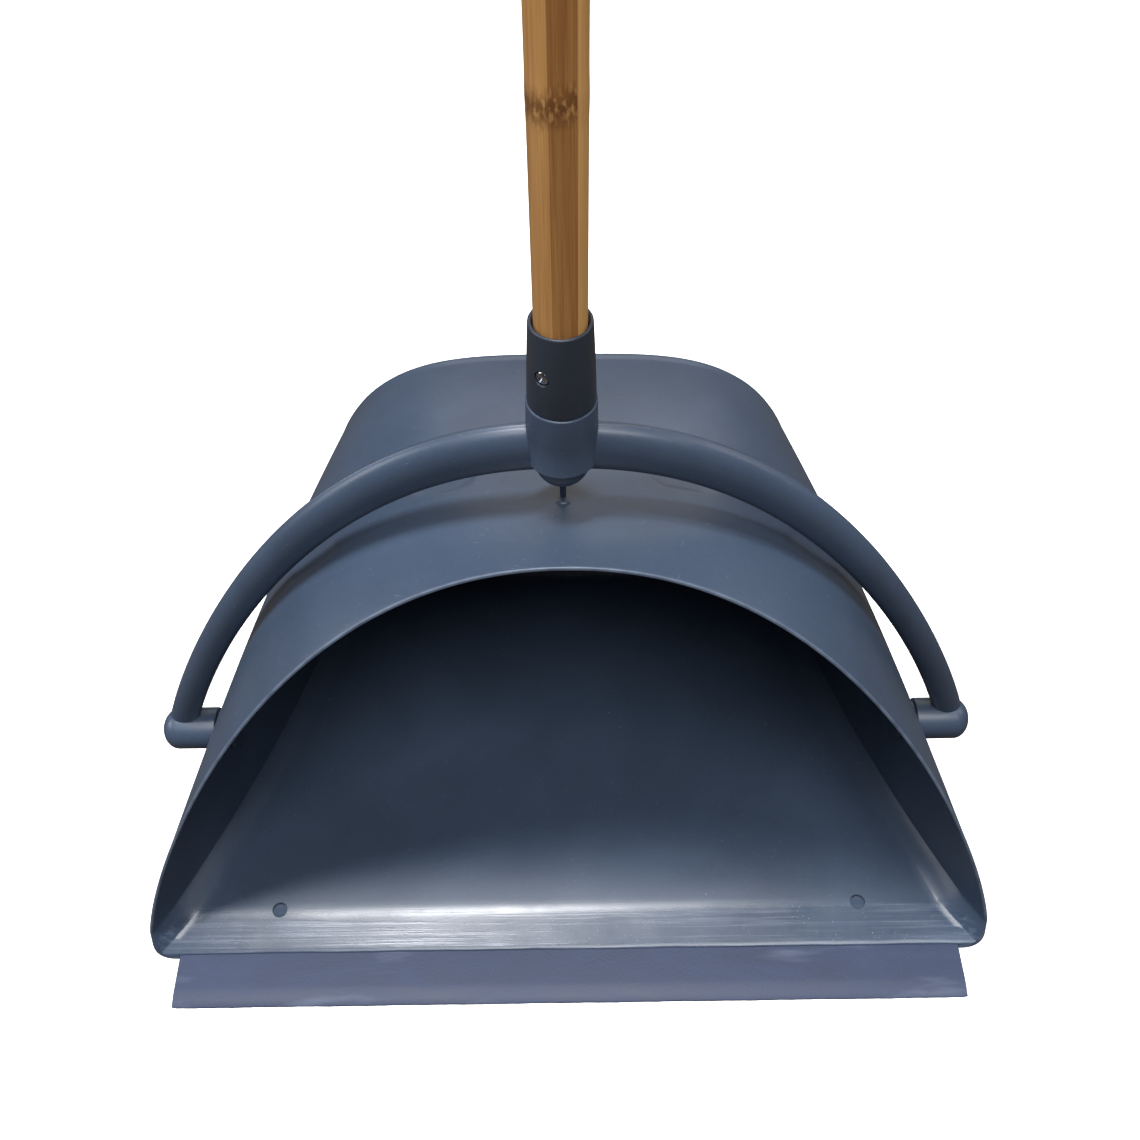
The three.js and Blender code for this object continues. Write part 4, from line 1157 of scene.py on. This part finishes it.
def stage_floor_material(finish):
    """A seamless pale sheet. What it throws back onto the object is dimmer and warmer than what
    the camera sees, as the floor of a lived-in room would be."""
    material = bpy.data.materials.new("studio_sweep_matt")
    material.use_nodes = True
    tree = material.node_tree
    tree.nodes.clear()
    pale = node(tree, "ShaderNodeBsdfDiffuse", {"Color": list(finish.floor)})
    glow = node(tree, "ShaderNodeEmission", {"Color": list(finish.floor), "Strength": 0.55})
    seen = node(tree, "ShaderNodeAddShader", {0: pale.outputs[0], 1: glow.outputs[0]})
    thrown = node(tree, "ShaderNodeBsdfDiffuse", {"Color": linear("#4c463f")})
    path = node(tree, "ShaderNodeLightPath").outputs["Is Camera Ray"]
    both = node(tree, "ShaderNodeMixShader", {0: path, 1: thrown.outputs[0], 2: seen.outputs[0]})
    node(tree, "ShaderNodeOutputMaterial", {"Surface": both.outputs[0]})
    return material


def material_named(name):
    """A material of this object, made the first time it is asked for."""
    found = bpy.data.materials.get(name)
    if found:
        return found
    finish = bpy.context.scene.dustpan_finish
    if name == "slate_polypropylene_moulded":
        ramp_top = bpy.context.scene.dustpan_pan.floor_top + MM
        return moulded_polypropylene(
            name, finish.slate, finish.slate_deep, finish.scuff, ramp_top=ramp_top
        )
    if name == "charcoal_polypropylene_moulded":
        return moulded_polypropylene(name, finish.charcoal, finish.charcoal_deep, finish.scuff, 0.42, 0.6)
    if name == "lip_elastomer_extruded":
        return soft_elastomer(name, finish.lip, finish.lip_deep, finish.scuff)
    if name == "bamboo_laminated_lacquered":
        return lacquered_bamboo(name, bpy.context.scene.dustpan_handle, finish)
    if name == "steel_zinc_plated":
        return plated_steel(name, finish.steel)
    raise ValueError(f"no material is called {name}")


# --- operators ---------------------------------------------------------------------------------


class DUSTPAN_OT_pan(bpy.types.Operator):
    """Builds the moulded pan with its hood, ramp, studs, dents and ribbed underside"""

    bl_idname = "dustpan.pan"
    bl_label = "Build the pan"

    def execute(self, context):
        piece = build_pan(context.scene.dustpan_pan)
        slate = material_named("slate_polypropylene_moulded")
        finish_piece(piece, slate, "pan", "pan_shell")
        return {"FINISHED"}


class DUSTPAN_OT_lip(bpy.types.Operator):
    """Builds the soft lip under the sill"""

    bl_idname = "dustpan.lip"
    bl_label = "Build the lip"

    def execute(self, context):
        finish_piece(build_lip(), material_named("lip_elastomer_extruded"), "pan", "soft_lip")
        return {"FINISHED"}


class DUSTPAN_OT_bail(bpy.types.Operator):
    """Builds the bail: arms, bosses, socket and fin in one moulding"""

    bl_idname = "dustpan.bail"
    bl_label = "Build the bail"

    def execute(self, context):
        scene = context.scene
        piece = build_bail(scene.dustpan_pan, scene.dustpan_bail, scene.dustpan_handle)
        slate = material_named("slate_polypropylene_moulded")
        finish_piece(piece, slate, "bail", "bail", 42)
        return {"FINISHED"}


class DUSTPAN_OT_ferrule(bpy.types.Operator):
    """Builds the ferrule and the screw that holds the handle in it"""

    bl_idname = "dustpan.ferrule"
    bl_label = "Build the ferrule and screw"

    def execute(self, context):
        sizes = context.scene.dustpan_handle
        ferrule = build_ferrule(sizes)
        charcoal = material_named("charcoal_polypropylene_moulded")
        finish_piece(ferrule, charcoal, "bail", "handle_ferrule")
        screw = build_screw(sizes)
        finish_piece(screw, material_named("steel_zinc_plated"), "bail", "ferrule_screw")
        return {"FINISHED"}


class DUSTPAN_OT_handle(bpy.types.Operator):
    """Builds the bamboo handle and the cap on its end"""

    bl_idname = "dustpan.handle"
    bl_label = "Build the handle and cap"

    def execute(self, context):
        sizes = context.scene.dustpan_handle
        bamboo = material_named("bamboo_laminated_lacquered")
        finish_piece(build_handle(sizes), bamboo, "bail", "bamboo_handle")
        charcoal = material_named("charcoal_polypropylene_moulded")
        finish_piece(build_cap(sizes), charcoal, "bail", "end_cap")
        return {"FINISHED"}


class DUSTPAN_OT_stage(bpy.types.Operator):
    """Sets the floor, the soft lights and the camera"""

    bl_idname = "dustpan.stage"
    bl_label = "Set the stage"

    def execute(self, context):
        sweep = new_piece("sweep_floor", [(-6, -6, 0), (6, -6, 0), (6, 6, 0), (-6, 6, 0)], [(0, 1, 2, 3)])
        sweep.data.materials.append(stage_floor_material(context.scene.dustpan_finish))
        soft_light("ceiling_tube", (-0.14, 0.02, 1.9), (-0.1, -0.05, 0), 0.6, 0.16, 33)
        soft_light("ceiling_front", (0.1, -1.0, 1.95), (0, -0.02, 0), 1.2, 0.8, 34)
        soft_light("window_left", (-1.8, 0.0, 1.1), (0, 0, 0.12), 0.9, 1.1, 18)
        soft_light("wall_right", (1.7, 0.2, 1.5), (0, 0, 0.12), 0.9, 1.1, 10, "#fff6e8")
        soft_light("wall_behind", (0.3, 2.4, 1.2), (0, 0, 0.12), 2.6, 1.6, 17, "#fff3e2")
        set_world(0.07)
        set_camera()
        context.scene.view_settings.view_transform = "Standard"
        return {"FINISHED"}


def soft_light(name, place, target, width, depth, watts, tint="#ffffff"):
    """A rectangular soft box that looks at a point."""
    light = bpy.data.lights.new(name, "AREA")
    light.shape = "RECTANGLE"
    light.size, light.size_y = width, depth
    light.energy = watts
    light.color = linear(tint)[:3]
    lamp = bpy.data.objects.new(name, light)
    bpy.context.scene.collection.objects.link(lamp)
    lamp.location = place
    lamp.rotation_euler = (Vector(target) - Vector(place)).to_track_quat("-Z", "Y").to_euler()
    return lamp


def set_world(strength):
    """An even, slightly cool surround."""
    world = bpy.data.worlds.new("studio_surround")
    world.use_nodes = True
    world.node_tree.nodes.clear()
    glow = node(world.node_tree, "ShaderNodeBackground", {"Color": linear("#eef1f6"), "Strength": strength})
    node(world.node_tree, "ShaderNodeOutputWorld", {"Surface": glow.outputs[0]})
    bpy.context.scene.world = world


def set_camera():
    """A camera in front of the mouth that looks down into the pan."""
    pitch, roll, yaw = (math.radians(a) for a in (50.26, 0.549, 0.2736))
    forward = Vector((math.sin(yaw) * math.cos(pitch), math.cos(yaw) * math.cos(pitch), -math.sin(pitch)))
    level = Vector((math.cos(yaw), -math.sin(yaw), 0))
    down = forward.cross(level)
    right = level * math.cos(roll) + down * math.sin(roll)
    down = down * math.cos(roll) - level * math.sin(roll)
    camera = bpy.data.objects.new("front_camera", bpy.data.cameras.new("front_camera"))
    camera.data.sensor_width, camera.data.lens = 36, 41.05
    camera.data.clip_start = 0.01
    turn = Matrix((right, -down, -forward)).transposed().to_4x4()
    camera.matrix_world = Matrix.Translation((0.00065, -0.29889, 0.49455)) @ turn
    bpy.context.scene.collection.objects.link(camera)
    bpy.context.scene.camera = camera


class DUSTPAN_PT_panel(bpy.types.Panel):
    """Lists what the add-on builds"""

    bl_idname = "DUSTPAN_PT_panel"
    bl_label = "Long-handled dustpan"
    bl_space_type = "VIEW_3D"
    bl_region_type = "UI"
    bl_category = "Dustpan"

    def draw(self, context):
        for operator in OPERATORS:
            self.layout.operator(operator.bl_idname)


GROUPS = {
    "dustpan_pan": DustpanPanSizes,
    "dustpan_bail": DustpanBailSizes,
    "dustpan_handle": DustpanHandleSizes,
    "dustpan_finish": DustpanFinish,
}
OPERATORS = (
    DUSTPAN_OT_stage,
    DUSTPAN_OT_pan,
    DUSTPAN_OT_lip,
    DUSTPAN_OT_bail,
    DUSTPAN_OT_ferrule,
    DUSTPAN_OT_handle,
)


def register():
    """Registers the sizes, the operators and the panel."""
    for name, group in GROUPS.items():
        bpy.utils.register_class(group)
        setattr(bpy.types.Scene, name, PointerProperty(type=group))
    for kind in (*OPERATORS, DUSTPAN_PT_panel):
        bpy.utils.register_class(kind)


def unregister():
    """Takes everything that register added away again."""
    for kind in (DUSTPAN_PT_panel, *reversed(OPERATORS)):
        bpy.utils.unregister_class(kind)
    for name, group in reversed(GROUPS.items()):
        delattr(bpy.types.Scene, name)
        bpy.utils.unregister_class(group)


def main():
    """Builds everything."""
    register()
    bpy.ops.dustpan.stage()
    bpy.ops.dustpan.pan()
    bpy.ops.dustpan.lip()
    bpy.ops.dustpan.bail()
    bpy.ops.dustpan.ferrule()
    bpy.ops.dustpan.handle()


if __name__ == "__main__":
    main()
